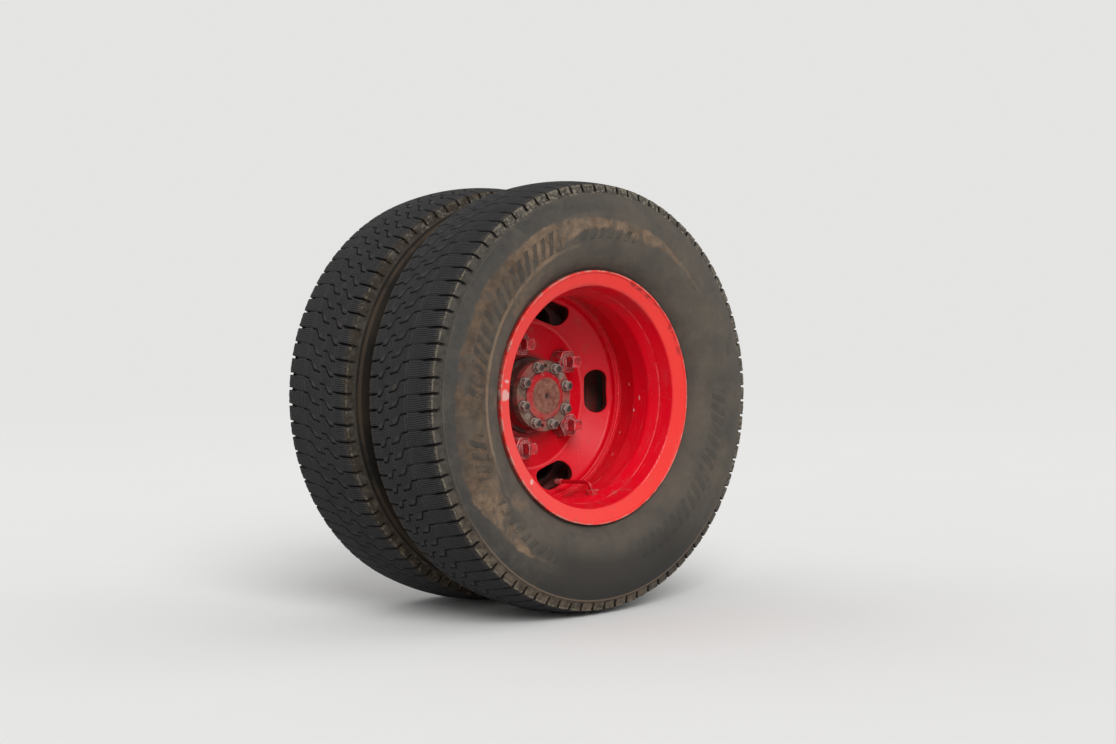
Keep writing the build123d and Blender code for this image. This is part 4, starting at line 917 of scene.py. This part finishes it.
def lathe(radii, places, turn, x=0.0, z=0.0):
    """Points turned about a line along the axle's direction, from arrays with one row per angle."""
    places = places * np.ones_like(radii)
    return np.stack([x + radii * np.cos(turn), places, z + radii * np.sin(turn)], -1).reshape(-1, 3)


def add_lathe(name, radii, places, sharp_degrees, closed, way, *look, x=0.0, z=0.0):
    """Turned piece from arrays of radius and place along the axle, with one row per angle."""
    points = lathe(radii, places, angles_round(len(radii)), x, z)
    add_mesh(name, points, grid_faces(*radii.shape, closed, way), sharp_degrees, *look)


def set_finish(names, material):
    """Gives CAD nodes a finish through their own material slots."""
    for name in names:
        for slot in NODES[name].material_slots:
            slot.material = material


def numbered(stem, count):
    return [f"{stem}_{i}" for i in range(1, count + 1)]


def circle_places(circle, count, start):
    """Numbers and centres of a bolt circle's places as (number, x, z)."""
    angles = [math.radians(start + 360.0 / count * i) for i in range(count)]
    return [(i, circle * math.cos(a), circle * math.sin(a)) for i, a in enumerate(angles, start=1)]


# Tyres

# Outline of one side in mm, as radius and half width: three guide points of the sidewall's arc, the bead,
# the strip beside the tread, and the lining inside
WALL_GUIDE = ((378.0, 93.5), (318.0, WALL_WIDEST), (252.0, 97.0))
BEAD_ROWS = ((246.5, 90.2), (241.0, 83.4), (236.6, 77.6), (229.0, 76.0), (217.0, 71.0))
STRIP_ROWS = ((378.6, 93.4), (381.0, 92.8), (385.0, 91.3), (389.0, 89.8), (391.8, 88.8))
LINING_ROWS = ((362.0, -72.0), (378.0, 0.0), (362.0, 72.0))

# Columns across the tread, from the face that looks away from the twin: place from the centre in mm,
# kind of column, and how many pitches the cross slots are shifted round the tyre there
TREAD_COLUMNS = (
    (88.0, "edge", 0.00), (86.2, "block", 0.01), (80.0, "block", 0.02), (72.0, "block", 0.05),
    (64.0, "block", 0.09), (56.0, "block", 0.12), (48.0, "block", 0.15), (40.0, "block", 0.17),
    (33.0, "block", 0.18), (30.4, "block", 0.18),
    (30.0, "groove", 0.18), (29.0, "groove", 0.20),
    (28.6, "rib", 0.20), (24.0, "rib", 0.24), (17.0, "rib", 0.28), (12.0, "rib", 0.32),
    (10.0, "kink", 0.40), (5.5, "kink", 0.60), (1.0, "kink", 0.80), (-1.0, "rib", 0.86),
    (-7.0, "rib", 0.92), (-14.0, "rib", 0.97), (-19.7, "rib", 1.00),
    (-20.1, "fine", 1.00), (-21.4, "fine", 0.80),
    (-21.8, "rib", 0.62), (-26.0, "rib", 0.64), (-32.0, "rib", 0.68), (-35.0, "rib", 0.72),
    (-37.0, "kink", 0.82), (-41.5, "kink", 1.02), (-46.0, "kink", 1.20), (-48.0, "rib", 1.24),
    (-56.3, "rib", 1.28), (-56.7, "groove", 1.28), (-57.9, "groove", 1.18),
    (-58.3, "block", 1.10), (-65.0, "block", 1.12), (-72.0, "block", 1.14), (-80.0, "block", 1.16),
    (-86.2, "block", 1.17), (-88.0, "edge", 1.18),
)

# Width of the cross slots by kind of column, as a share of the setting; other kinds have 0.6
SLOT_WIDTHS = {"block": 1.0, "edge": 1.15, "strip": 1.2, "rib": 0.80, "kink": 1.4}

# Depth of the cross slots and of the grooves by kind of column, as a share of the settings
SLOT_DEPTHS = {"block": 1.0, "edge": 0.92, "rib": 0.52, "kink": 0.95}
GROOVE_DEPTHS = {"groove": 0.7, "fine": 0.5}

# Rows of each pitch that stand on the block, as shares of the pitch
BLOCK_ROWS = (0.30, 0.45, 0.60, 0.75, 0.88, 0.962)

# Thickness of a slot's slanted wall and wear of the block's edges beside it, in mm
SLOT_WALL = 0.55
EDGE_WEAR = 0.55


def arc_through(first, second, third, share):
    """Points of the circle through three points, at shares of the way from the first to the third."""
    (ax, ay), (bx, by), (cx, cy) = first, second, third
    d = 2 * (ax * (by - cy) + bx * (cy - ay) + cx * (ay - by))
    ux = ((ax**2 + ay**2) * (by - cy) + (bx**2 + by**2) * (cy - ay) + (cx**2 + cy**2) * (ay - by)) / d
    uy = ((ax**2 + ay**2) * (cx - bx) + (bx**2 + by**2) * (ax - cx) + (cx**2 + cy**2) * (bx - ax)) / d
    size = math.hypot(ax - ux, ay - uy)
    start = math.atan2(ay - uy, ax - ux)
    end = math.atan2(cy - uy, cx - ux)
    angles = start + (end - start) * np.asarray(share, float)
    return np.stack([ux + size * np.cos(angles), uy + size * np.sin(angles)], -1)


def pitch_edges(count):
    """Start of each tread pitch as a share of a turn, in three lengths as tyres have them."""
    lengths = np.array([0.94 if i % 5 in (0, 3) else (1.0 if i % 3 else 1.07) for i in range(count)])
    return np.concatenate([[0.0], np.cumsum(lengths) / lengths.sum()])


def pitch_length(settings):
    """Mean length of a tread pitch round the tyre, in mm."""
    return FULL_TURN * TYRE_RADIUS / settings.pitches


def wall_rows():
    """Sidewall from the shoulder to the bead, with two low beads under the shoulder."""
    share = np.concatenate([[0.0, 0.018, 0.028, 0.040, 0.052, 0.075, 0.11], np.linspace(0.15, 1.0, 12)])
    wall = arc_through(*WALL_GUIDE, share)
    lift = np.zeros(len(wall))
    lift[2:4] = 1.1
    lift[7] = 0.5
    outward = wall - np.array([WALL_GUIDE[1][0], 60.0])
    outward /= np.linalg.norm(outward, axis=1)[:, None]
    wall = wall + outward * lift[:, None]
    wall[:, 1] = np.minimum(wall[:, 1], WALL_WIDEST)
    return wall


def tyre_columns():
    """Outline of the whole tyre as arrays: radius, place across, kind and slot shift of each column."""
    half = [(r, w, "bead") for r, w in BEAD_ROWS[::-1]]
    half += [(r, w, "wall") for r, w in wall_rows()[::-1]]
    half += [(r, w, "strip") for r, w in STRIP_ROWS]
    rows = [(r, w, kind, -0.01) for r, w, kind in half]
    for w, kind, shift in TREAD_COLUMNS:
        rows.append((TYRE_RADIUS - CROWN_DROP * (w / HALF_TREAD) ** 2, w, kind, shift))
    rows += [(r, -w, kind, 1.19) for r, w, kind in half[::-1]]
    rows += [(r, w, "lining", 0.6) for r, w in LINING_ROWS]
    return [np.array(column) for column in zip(*rows)]


def slot_sizes(settings, radius, place, kind):
    """Width in pitches and depth in mm of the cross slots in each column, small in the inboard blocks."""
    width = settings.slot_width / pitch_length(settings)
    inboard = (kind == "block") * np.clip((62.0 - np.abs(place)) / 8.0, 0, 1)
    wide = np.array([SLOT_WIDTHS.get(k, 0.6) for k in kind]) * width * (1 - 0.65 * inboard)
    deep = np.array([SLOT_DEPTHS.get(k, 0.0) for k in kind]) * settings.slot_depth * (1 - 0.82 * inboard)
    strip_fall = np.clip((radius - 376.0) / 9.0, 0, 1)
    return wide, np.where(kind == "strip", 0.75 * settings.slot_depth * strip_fall, deep)


def build_tyre(name, node, centre, way, settings, material, seed):
    """One tyre as a grid that is sheared to follow its kinked cross slots."""
    radius, place, kind, shift = tyre_columns()
    columns = len(radius)
    edges = pitch_edges(settings.pitches)
    slot_wide, slot_deep = slot_sizes(settings, radius, place, kind)
    groove_deep = np.array([GROOVE_DEPTHS.get(k, 0.0) for k in kind]) * settings.groove_depth
    wall = SLOT_WALL / pitch_length(settings)
    start = np.zeros(columns)
    marks = [start, start + wall, slot_wide - wall, slot_wide, slot_wide + 0.045]
    marks += [start + share for share in BLOCK_ROWS]
    torn = np.isin(kind, ("edge", "strip"))
    worn = np.isin(kind, ("block", "rib", "kink"))
    noise = np.random.RandomState(seed)
    turn_rows, depth_rows, pitch_rows = [], [], []
    for p in range(settings.pitches):
        shallow = 1.0 - 0.25 * (p % 7 == 3)
        for k, share in enumerate(marks):
            turn_rows.append(edges[p] + (edges[p + 1] - edges[p]) * share + shift / settings.pitches)
            pitch_rows.append(p + share)
            ragged = np.where(torn, np.abs(noise.normal(0, 0.75, columns)), 0.0)
            ragged += np.where(worn, np.abs(noise.normal(0, 0.10, columns)), 0.0)
            cut = slot_deep * (k in (1, 2)) * shallow + EDGE_WEAR * (k in (0, 3)) * (slot_deep > 0)
            depth_rows.append(cut + ragged)
    depth = np.where(groove_deep > 0, groove_deep, np.maximum(np.array(depth_rows), 0.0))
    radii = radius - depth * np.where(kind == "strip", 0.45, 1.0)
    places = place - depth * np.where(kind == "strip", 0.82, 0.0) * np.sign(place)
    points = lathe(radii, centre + way * places, np.array(turn_rows) * FULL_TURN)
    faces = grid_faces(len(radii), columns, True, way)
    arc = np.concatenate([[0.0], np.cumsum(np.hypot(np.diff(radius), np.diff(place)))]) * MM
    pitch = np.concatenate([np.array(pitch_rows), pitch_rows[0][None] + settings.pitches])
    i, j = np.meshgrid(np.arange(len(radii)), np.arange(columns), indexing="ij")
    i, j = i.ravel(), j.ravel()
    beside = (j + 1) % columns
    corners = [(i, j), (i, beside), (i + 1, beside), (i + 1, j)]
    uv = np.stack([np.stack([pitch[a, b], arc[b]], -1) for a, b in corners[::-way]], 1)
    piece = add_mesh(name, points, faces, 32.0, "wheel_set", "tyre_rubber", material, uv)
    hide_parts(node)


class TWINWHEEL_OT_tyres(bpy.types.Operator):
    """Build both tyres with their tread, sidewalls and dust"""
    bl_idname = "twinwheel.tyres"
    bl_label = "Tyres"

    def execute(self, context):
        settings = context.scene.twinwheel_tyres
        for name, node, centre, way, seed in (("outer_tyre_tread", "outer_tyre", OUTER_CENTRE, -1, 11),
                                              ("inner_tyre_tread", "inner_tyre", INNER_CENTRE, 1, 12)):
            material = TyreRubber(settings, name + "_rubber", centre, way).material
            build_tyre(name, node, centre, way, settings, material, seed)
            set_finish([node], material)
        return {"FINISHED"}


# Rims, discs and their welds

# Radius of a weld bead's section in mm
WELD_SIZE = 2.9


def build_weld(name, y_edge, way, settings, material):
    """Rippled weld bead that joins a disc's skirt to its rim."""
    segments, section, knots = settings.ripples * 6, 10, 60
    turn = angles_round(segments)
    ripple = 0.5 + 0.5 * np.cos(turn * settings.ripples)
    wander = np.random.RandomState(5).normal(0, 0.35, knots)
    drift = np.interp(turn[:, 0], np.linspace(0, FULL_TURN, knots), wander, period=FULL_TURN)[:, None]
    around = angles_round(section).T
    size = WELD_SIZE + 0.55 * ripple + 0.25 * drift
    lean = 0.25 * np.sin(turn * settings.ripples)
    radii = DISC_EDGE_RADIUS - 3.0 + drift * 0.3 + size * np.cos(around)
    places = y_edge - way * (2.2 + lean) + way * size * 0.85 * np.sin(around)
    add_lathe(name, radii, places, 50.0, True, -1, "wheel_set", "wheel_paint", material)


class TWINWHEEL_OT_rims_and_discs(bpy.types.Operator):
    """Paint the rims and discs and lay their weld beads"""
    bl_idname = "twinwheel.rims_and_discs"
    bl_label = "Rims and discs"

    def execute(self, context):
        settings = context.scene.twinwheel_paint
        # The inner wheel's film of 0.97 is dark brown road film and painted shade between the twins.
        for name, y_weld, way, film in (("outer", OUTER_WELD, -1, 0.0), ("inner", INNER_WELD, 1, 0.97)):
            rim = rim_enamel(settings, f"{name}_rim_enamel", film)
            set_finish([f"{name}_rim"], rim)
            set_finish([f"{name}_disc"], disc_enamel(settings, f"{name}_disc_enamel", film))
            build_weld(f"{name}_weld_bead", y_weld, way, settings, rim)
        return {"FINISHED"}


# Threads, bolts and other turned details

# Threads: radius, pitch and height in mm
CAP_THREAD = (15.0, 1.5, 0.45)
STUD_THREAD = (6.0, 1.25, 0.35)

# Hexagon heads in mm: width across flats, radius of the washer, and its thickness
BOLT_FLATS = 19.0
WASHER_RADIUS = 12.0
WASHER_THICKNESS = 2.2


def build_thread(name, x, z, y_start, y_end, thread, *look):
    """Thread of a few turns round a stud or nut, from a lower to a higher place along the axle."""
    radius, thread_pitch, height = thread
    steps = max(6, int((y_end - y_start) / thread_pitch * 8))
    y = np.linspace(y_start, y_end, steps + 1)[None, :]
    phase = np.mod(y / thread_pitch - angles_round(32) / FULL_TURN, 1.0)
    rise = 1.0 - np.abs(2 * phase - 1.0)
    fade = np.clip(np.minimum(y - y_start, y_end - y) / (0.5 * thread_pitch), 0, 1)
    radii = radius - 0.05 + height * rise * fade
    add_lathe(name, radii, y, 60.0, False, -1, *look, x=x, z=z)


def build_hex(name, x, z, y_base, y_end, *look):
    """Hexagon head that looks along +Y, with a turned crown and a washer under it."""
    turn = angles_round(48)
    sixth = math.pi / 3
    outline = BOLT_FLATS / 2 / np.cos(np.mod(turn, sixth) - sixth / 2)
    face, washer = 0.46 * BOLT_FLATS, WASHER_RADIUS
    drop = (outline - face) * math.tan(math.radians(30))
    collar = y_base + WASHER_THICKNESS
    rows = ((0.2, y_base), (washer, y_base), (washer, collar - 0.4), (washer - 0.4, collar),
            (outline, collar), (outline, y_end - drop), (face, y_end), (face * 0.7, y_end - 0.3),
            (0.2, y_end - 0.3))
    radii, places = (np.concatenate([np.ones_like(turn) * row[i] for row in rows], 1) for i in (0, 1))
    add_lathe(name, radii, places, 28.0, False, 1, *look, x=x, z=z)


def build_turned(name, x, z, outline, segments, *look):
    """Turned piece along the axle's direction from (radius, place) rows."""
    radii, places = np.array(outline).T[:, None, :].repeat(segments, 1)
    add_lathe(name, radii, places, 40.0, False, outline[-1][1] - outline[0][1], *look, x=x, z=z)


class TWINWHEEL_OT_wheel_nuts(bpy.types.Operator):
    """Finish the five pairs of wheel nuts and their studs and cut the threads that show"""
    bl_idname = "twinwheel.wheel_nuts"
    bl_label = "Wheel nuts"

    def execute(self, context):
        paint, metal = context.scene.twinwheel_paint, context.scene.twinwheel_metal
        squares = nut_finish(paint, "cap_nut_steel", 1.0)
        for stem, material in (("hex_nut", nut_finish(paint, "hex_nut_steel", 0.55)), ("cap_nut", squares),
                               ("wheel_stud", fastener_finish(metal, "wheel_stud_steel", STUDS, 4.0))):
            set_finish(numbered(stem, STUDS[1]), material)
        for i, x, z in circle_places(*STUDS):
            build_thread(f"cap_nut_thread_{i}", x, z, HEX_NUT_END - 3.2, HEX_NUT_END + 0.4, CAP_THREAD,
                         "wheel_set", "nut_steel", squares)
        return {"FINISHED"}


def build_gasket(material):
    """Thin ring between the hub's nose and the drive flange."""
    segments, inner, outer, half = 180, 67.0, 68.5, 0.5
    radii = np.array([inner, outer, outer, inner])[None, :].repeat(segments, 0)
    places = HUB_NOSE + np.array([-half, -half, half, half])
    add_lathe("hub_gasket", radii, places, 30.0, True, 1, "wheel_set", "hub_paint", material)


class TWINWHEEL_OT_hub_and_shaft(bpy.types.Operator):
    """Finish the hub, half shaft, flange nuts and dowels, and add the gasket and stud threads"""
    bl_idname = "twinwheel.hub_and_shaft"
    bl_label = "Hub and half shaft"

    def execute(self, context):
        paint, metal = context.scene.twinwheel_paint, context.scene.twinwheel_metal
        set_finish(["half_shaft"], shaft_finish(paint, metal))
        set_finish(["hub"], hub_finish(paint, metal))
        nuts = fastener_finish(metal, "flange_nut_plate", FLANGE_STUDS, 5.6)
        set_finish(numbered("flange_nut", FLANGE_STUDS[1]), nuts)
        set_finish(numbered("dowel", DOWELS[1]), fastener_finish(metal, "dowel_steel", DOWELS, -5.0))
        for i, x, z in circle_places(*FLANGE_STUDS):
            build_thread(f"flange_stud_thread_{i}", x, z, FLANGE_STUD_END + 0.9, FLANGE_STUD_END + 4.2,
                         STUD_THREAD, "wheel_set", "plated_steel", nuts)
        build_gasket(rubber_plug_finish(metal))
        return {"FINISHED"}


class TWINWHEEL_OT_valves(bpy.types.Operator):
    """Finish both tyre valves"""
    bl_idname = "twinwheel.valves"
    bl_label = "Tyre valves"

    def execute(self, context):
        material = valve_finish(context.scene.twinwheel_paint, context.scene.twinwheel_metal)
        set_finish(["outer_valve", "inner_valve"], material)
        return {"FINISHED"}


class TWINWHEEL_OT_drum(bpy.types.Operator):
    """Finish the brake drum"""
    bl_idname = "twinwheel.drum"
    bl_label = "Brake drum"

    def execute(self, context):
        metal = context.scene.twinwheel_metal
        set_finish(["brake_drum"], iron_finish(metal, "brake_drum_iron", 0.75, 0.12, 0.55))
        return {"FINISHED"}


# Outlines in mm, as radius and place: a plug's dome from the backing plate and a cap from the cylinder's end
PLUG_OUTLINE = ((0.3, 5.0), (7.0, 4.6), (9.5, 3.2), (10.0, 2.0), (13.0, 1.8), (13.4, 0.8), (13.0, -0.5))
CAP_OUTLINE = ((0.3, 1.5), (3.6, 1.3), (4.6, 0.4), (4.9, -2.0), (4.6, -5.0), (5.2, -9.0), (5.2, -10.5),
               (3.2, -10.5))

# Back of the backing plate and of the brake flange, and height of the wheel cylinders, in mm
PLATE_BACK = PLATE_FACE + 8.0
FLANGE_BACK = PLATE_FACE + 14.0
CYLINDER_HEIGHT = 112.0


def moved(outline, place):
    """Outline put at a place along the axle."""
    return [(radius, place + y) for radius, y in outline]


class TWINWHEEL_OT_axle_end(bpy.types.Operator):
    """Finish the axle end, backing plate and brake pipe, and add their bolts, plugs and caps"""
    bl_idname = "twinwheel.axle_end"
    bl_label = "Axle end and brake back"

    def execute(self, context):
        metal = context.scene.twinwheel_metal
        rubber = rubber_plug_finish(metal)
        bolts = fastener_finish(metal, "axle_bolt_plate", AXLE_BOLTS, -5.0)
        set_finish(["axle_end"], chassis_finish(metal, "axle_end_paint"))
        set_finish(["backing_plate"], chassis_finish(metal, "backing_plate_paint"))
        set_finish(["upper_wheel_cylinder", "lower_wheel_cylinder"],
                   iron_finish(metal, "wheel_cylinder_iron", 0.45, 0.0))
        set_finish(["brake_pipe"], pipe_finish(metal))
        for i, x, z in circle_places(*AXLE_BOLTS):
            build_hex(f"axle_bolt_{i}", x, z, FLANGE_BACK - 0.2, FLANGE_BACK + 11.5,
                      "axle_end", "plated_steel", bolts)
        for i, x, z in circle_places(*PLUGS):
            build_turned(f"inspection_plug_{i}", x, z, moved(PLUG_OUTLINE, PLATE_BACK), 48,
                         "axle_end", "axle_black", rubber)
        for i, z in enumerate((CYLINDER_HEIGHT, -CYLINDER_HEIGHT), start=1):
            build_turned(f"bleeder_cap_{i}", 0.0, z, moved(CAP_OUTLINE, CYLINDER_END), 36,
                         "axle_end", "axle_black", rubber)
        return {"FINISHED"}


# Stage

# Directions that the lights come from, how wide they look in degrees, and their distance in metres
KEY_FROM = (-0.38, -0.72, 0.58)
FILLS_FROM = ((0.80, -0.45, 0.40), (-0.35, 0.80, 0.50))
KEY_SPREAD = 34.0
FILL_SPREAD = 70.0
LAMP_DISTANCE = 6.0

# Floor: radius in metres, its corners, and where it fades into the background, in mm
FLOOR_SIZE = 60.0
FLOOR_CORNERS = 96
FLOOR_FADE = (2200.0, 8000.0)

# Share of the floor's own brightness that the background glows with, so that no horizon shows
GLOW_SHARE = 0.973

# Camera: focal length and sensor in mm, yaw, pitch and roll in degrees, place in metres
LENS = 66.03
SENSOR = 36.0
CAMERA_TURN = (41.914, 2.293, -1.255)
CAMERA_PLACE = (-2.5717, -3.2556, 0.1999)


def add_floor(settings, glow_strength):
    """Round matt floor that fades into the background far from the wheel."""
    f = Finish("studio_floor")
    colour = f.mottle(f.noise(3.0, 4.0, 0.6), settings.floor, 0.97, 1.0)
    f.finish(colour, 0.86, f.noise(60.0, 3.0, 0.6), 0.10)
    far = f.step(f.length(f.radius, f.along), *FLOOR_FADE)
    glow = f.glow("Emission", settings.floor, glow_strength)
    f.show(far * f.shown_share(), f.shader.outputs["BSDF"], glow, f.output)
    turn = angles_round(FLOOR_CORNERS)[:, 0]
    points = [(FLOOR_SIZE * math.cos(a), FLOOR_SIZE * math.sin(a), -TYRE_RADIUS * MM) for a in turn]
    mesh = bpy.data.meshes.new("studio_floor")
    mesh.from_pydata(points, [], [list(range(FLOOR_CORNERS))])
    mesh.materials.append(f.material)
    floor = bpy.data.objects.new("studio_floor", mesh)
    bpy.context.scene.collection.objects.link(floor)


def add_surround(settings, glow_strength):
    """Pale light from all sides, seen in the colour of the floor."""
    world = bpy.data.worlds.new("pale_surround")
    tree = NodeTree(world)
    surround = tree.glow("Background", (1.0, 1.0, 1.0), settings.sky)
    shown = tree.glow("Background", settings.floor, glow_strength)
    tree.show(tree.shown_share(), surround, shown, tree.node("OutputWorld"))
    bpy.context.scene.world = world


def add_lamp(name, way, spread, strength):
    """Broad soft light from a direction."""
    lamp = bpy.data.lights.new(name, "SUN")
    lamp.angle = math.radians(spread)
    lamp.energy = strength
    thing = bpy.data.objects.new(name, lamp)
    thing.location = Vector(way).normalized() * LAMP_DISTANCE
    thing.rotation_euler = Vector(way).to_track_quat("Z", "Y").to_euler()
    bpy.context.scene.collection.objects.link(thing)


def add_camera():
    """Camera at the photograph's place: it looks along the vehicle's side from ahead of the wheel."""
    camera = bpy.data.cameras.new("photo_camera")
    camera.sensor_width = SENSOR
    camera.lens = LENS
    camera.clip_end = 500.0
    thing = bpy.data.objects.new("photo_camera", camera)
    yaw, pitch, roll = (math.radians(degrees) for degrees in CAMERA_TURN)
    forward = Vector((math.sin(yaw) * math.cos(pitch), math.cos(yaw) * math.cos(pitch), -math.sin(pitch)))
    level = Vector((math.cos(yaw), -math.sin(yaw), 0.0))
    upright = level.cross(forward)
    right = math.cos(roll) * level + math.sin(roll) * upright
    up = -math.sin(roll) * level + math.cos(roll) * upright
    axes = Matrix((right, up, -forward)).transposed().to_4x4()
    thing.matrix_world = Matrix.Translation(CAMERA_PLACE) @ axes
    bpy.context.scene.collection.objects.link(thing)
    bpy.context.scene.camera = thing


class TWINWHEEL_OT_stage(bpy.types.Operator):
    """Make the floor, the soft lights, the pale surround and the camera"""
    bl_idname = "twinwheel.stage"
    bl_label = "Stage"

    def execute(self, context):
        settings = context.scene.twinwheel_stage
        context.scene.view_settings.view_transform = "Standard"
        lamps = [("key_light", KEY_FROM, KEY_SPREAD, settings.key_strength)]
        lamps += [(f"fill_light_{i}", way, FILL_SPREAD, settings.fill_strength)
                  for i, way in enumerate(FILLS_FROM, start=1)]
        floor_light = settings.sky
        for name, way, spread, strength in lamps:
            add_lamp(name, way, spread, strength)
            floor_light += strength / math.pi * Vector(way).normalized().z
        add_floor(settings, GLOW_SHARE * floor_light)
        add_surround(settings, GLOW_SHARE * floor_light)
        add_camera()
        return {"FINISHED"}


class TWINWHEEL_PT_panel(bpy.types.Panel):
    """Lists the wheel's operators and settings"""
    bl_idname = "TWINWHEEL_PT_panel"
    bl_label = "Twin rear wheel"
    bl_space_type = "VIEW_3D"
    bl_region_type = "UI"
    bl_category = "Twin wheel"

    def draw(self, context):
        for operator in OPERATORS:
            self.layout.operator(operator.bl_idname)
        for group, _ in GROUPS:
            box = self.layout.box()
            settings = getattr(context.scene, group)
            for name in settings.bl_rna.properties.keys():
                if name not in ("rna_type", "name"):
                    box.prop(settings, name)


OPERATORS = (
    TWINWHEEL_OT_tyres,
    TWINWHEEL_OT_rims_and_discs,
    TWINWHEEL_OT_wheel_nuts,
    TWINWHEEL_OT_hub_and_shaft,
    TWINWHEEL_OT_valves,
    TWINWHEEL_OT_drum,
    TWINWHEEL_OT_axle_end,
    TWINWHEEL_OT_stage,
)
GROUPS = (
    ("twinwheel_tyres", TyreSettings),
    ("twinwheel_paint", PaintSettings),
    ("twinwheel_metal", MetalSettings),
    ("twinwheel_stage", StageSettings),
)


def register():
    for name, group in GROUPS:
        bpy.utils.register_class(group)
        setattr(bpy.types.Scene, name, PointerProperty(type=group))
    for operator in OPERATORS:
        bpy.utils.register_class(operator)
    bpy.utils.register_class(TWINWHEEL_PT_panel)


def unregister():
    bpy.utils.unregister_class(TWINWHEEL_PT_panel)
    for operator in reversed(OPERATORS):
        bpy.utils.unregister_class(operator)
    for name, group in reversed(GROUPS):
        delattr(bpy.types.Scene, name)
        bpy.utils.unregister_class(group)


def main():
    register()
    bpy.ops.twinwheel.tyres()
    bpy.ops.twinwheel.rims_and_discs()
    bpy.ops.twinwheel.wheel_nuts()
    bpy.ops.twinwheel.hub_and_shaft()
    bpy.ops.twinwheel.valves()
    bpy.ops.twinwheel.drum()
    bpy.ops.twinwheel.axle_end()
    bpy.ops.twinwheel.stage()


if __name__ == "__main__":
    main()
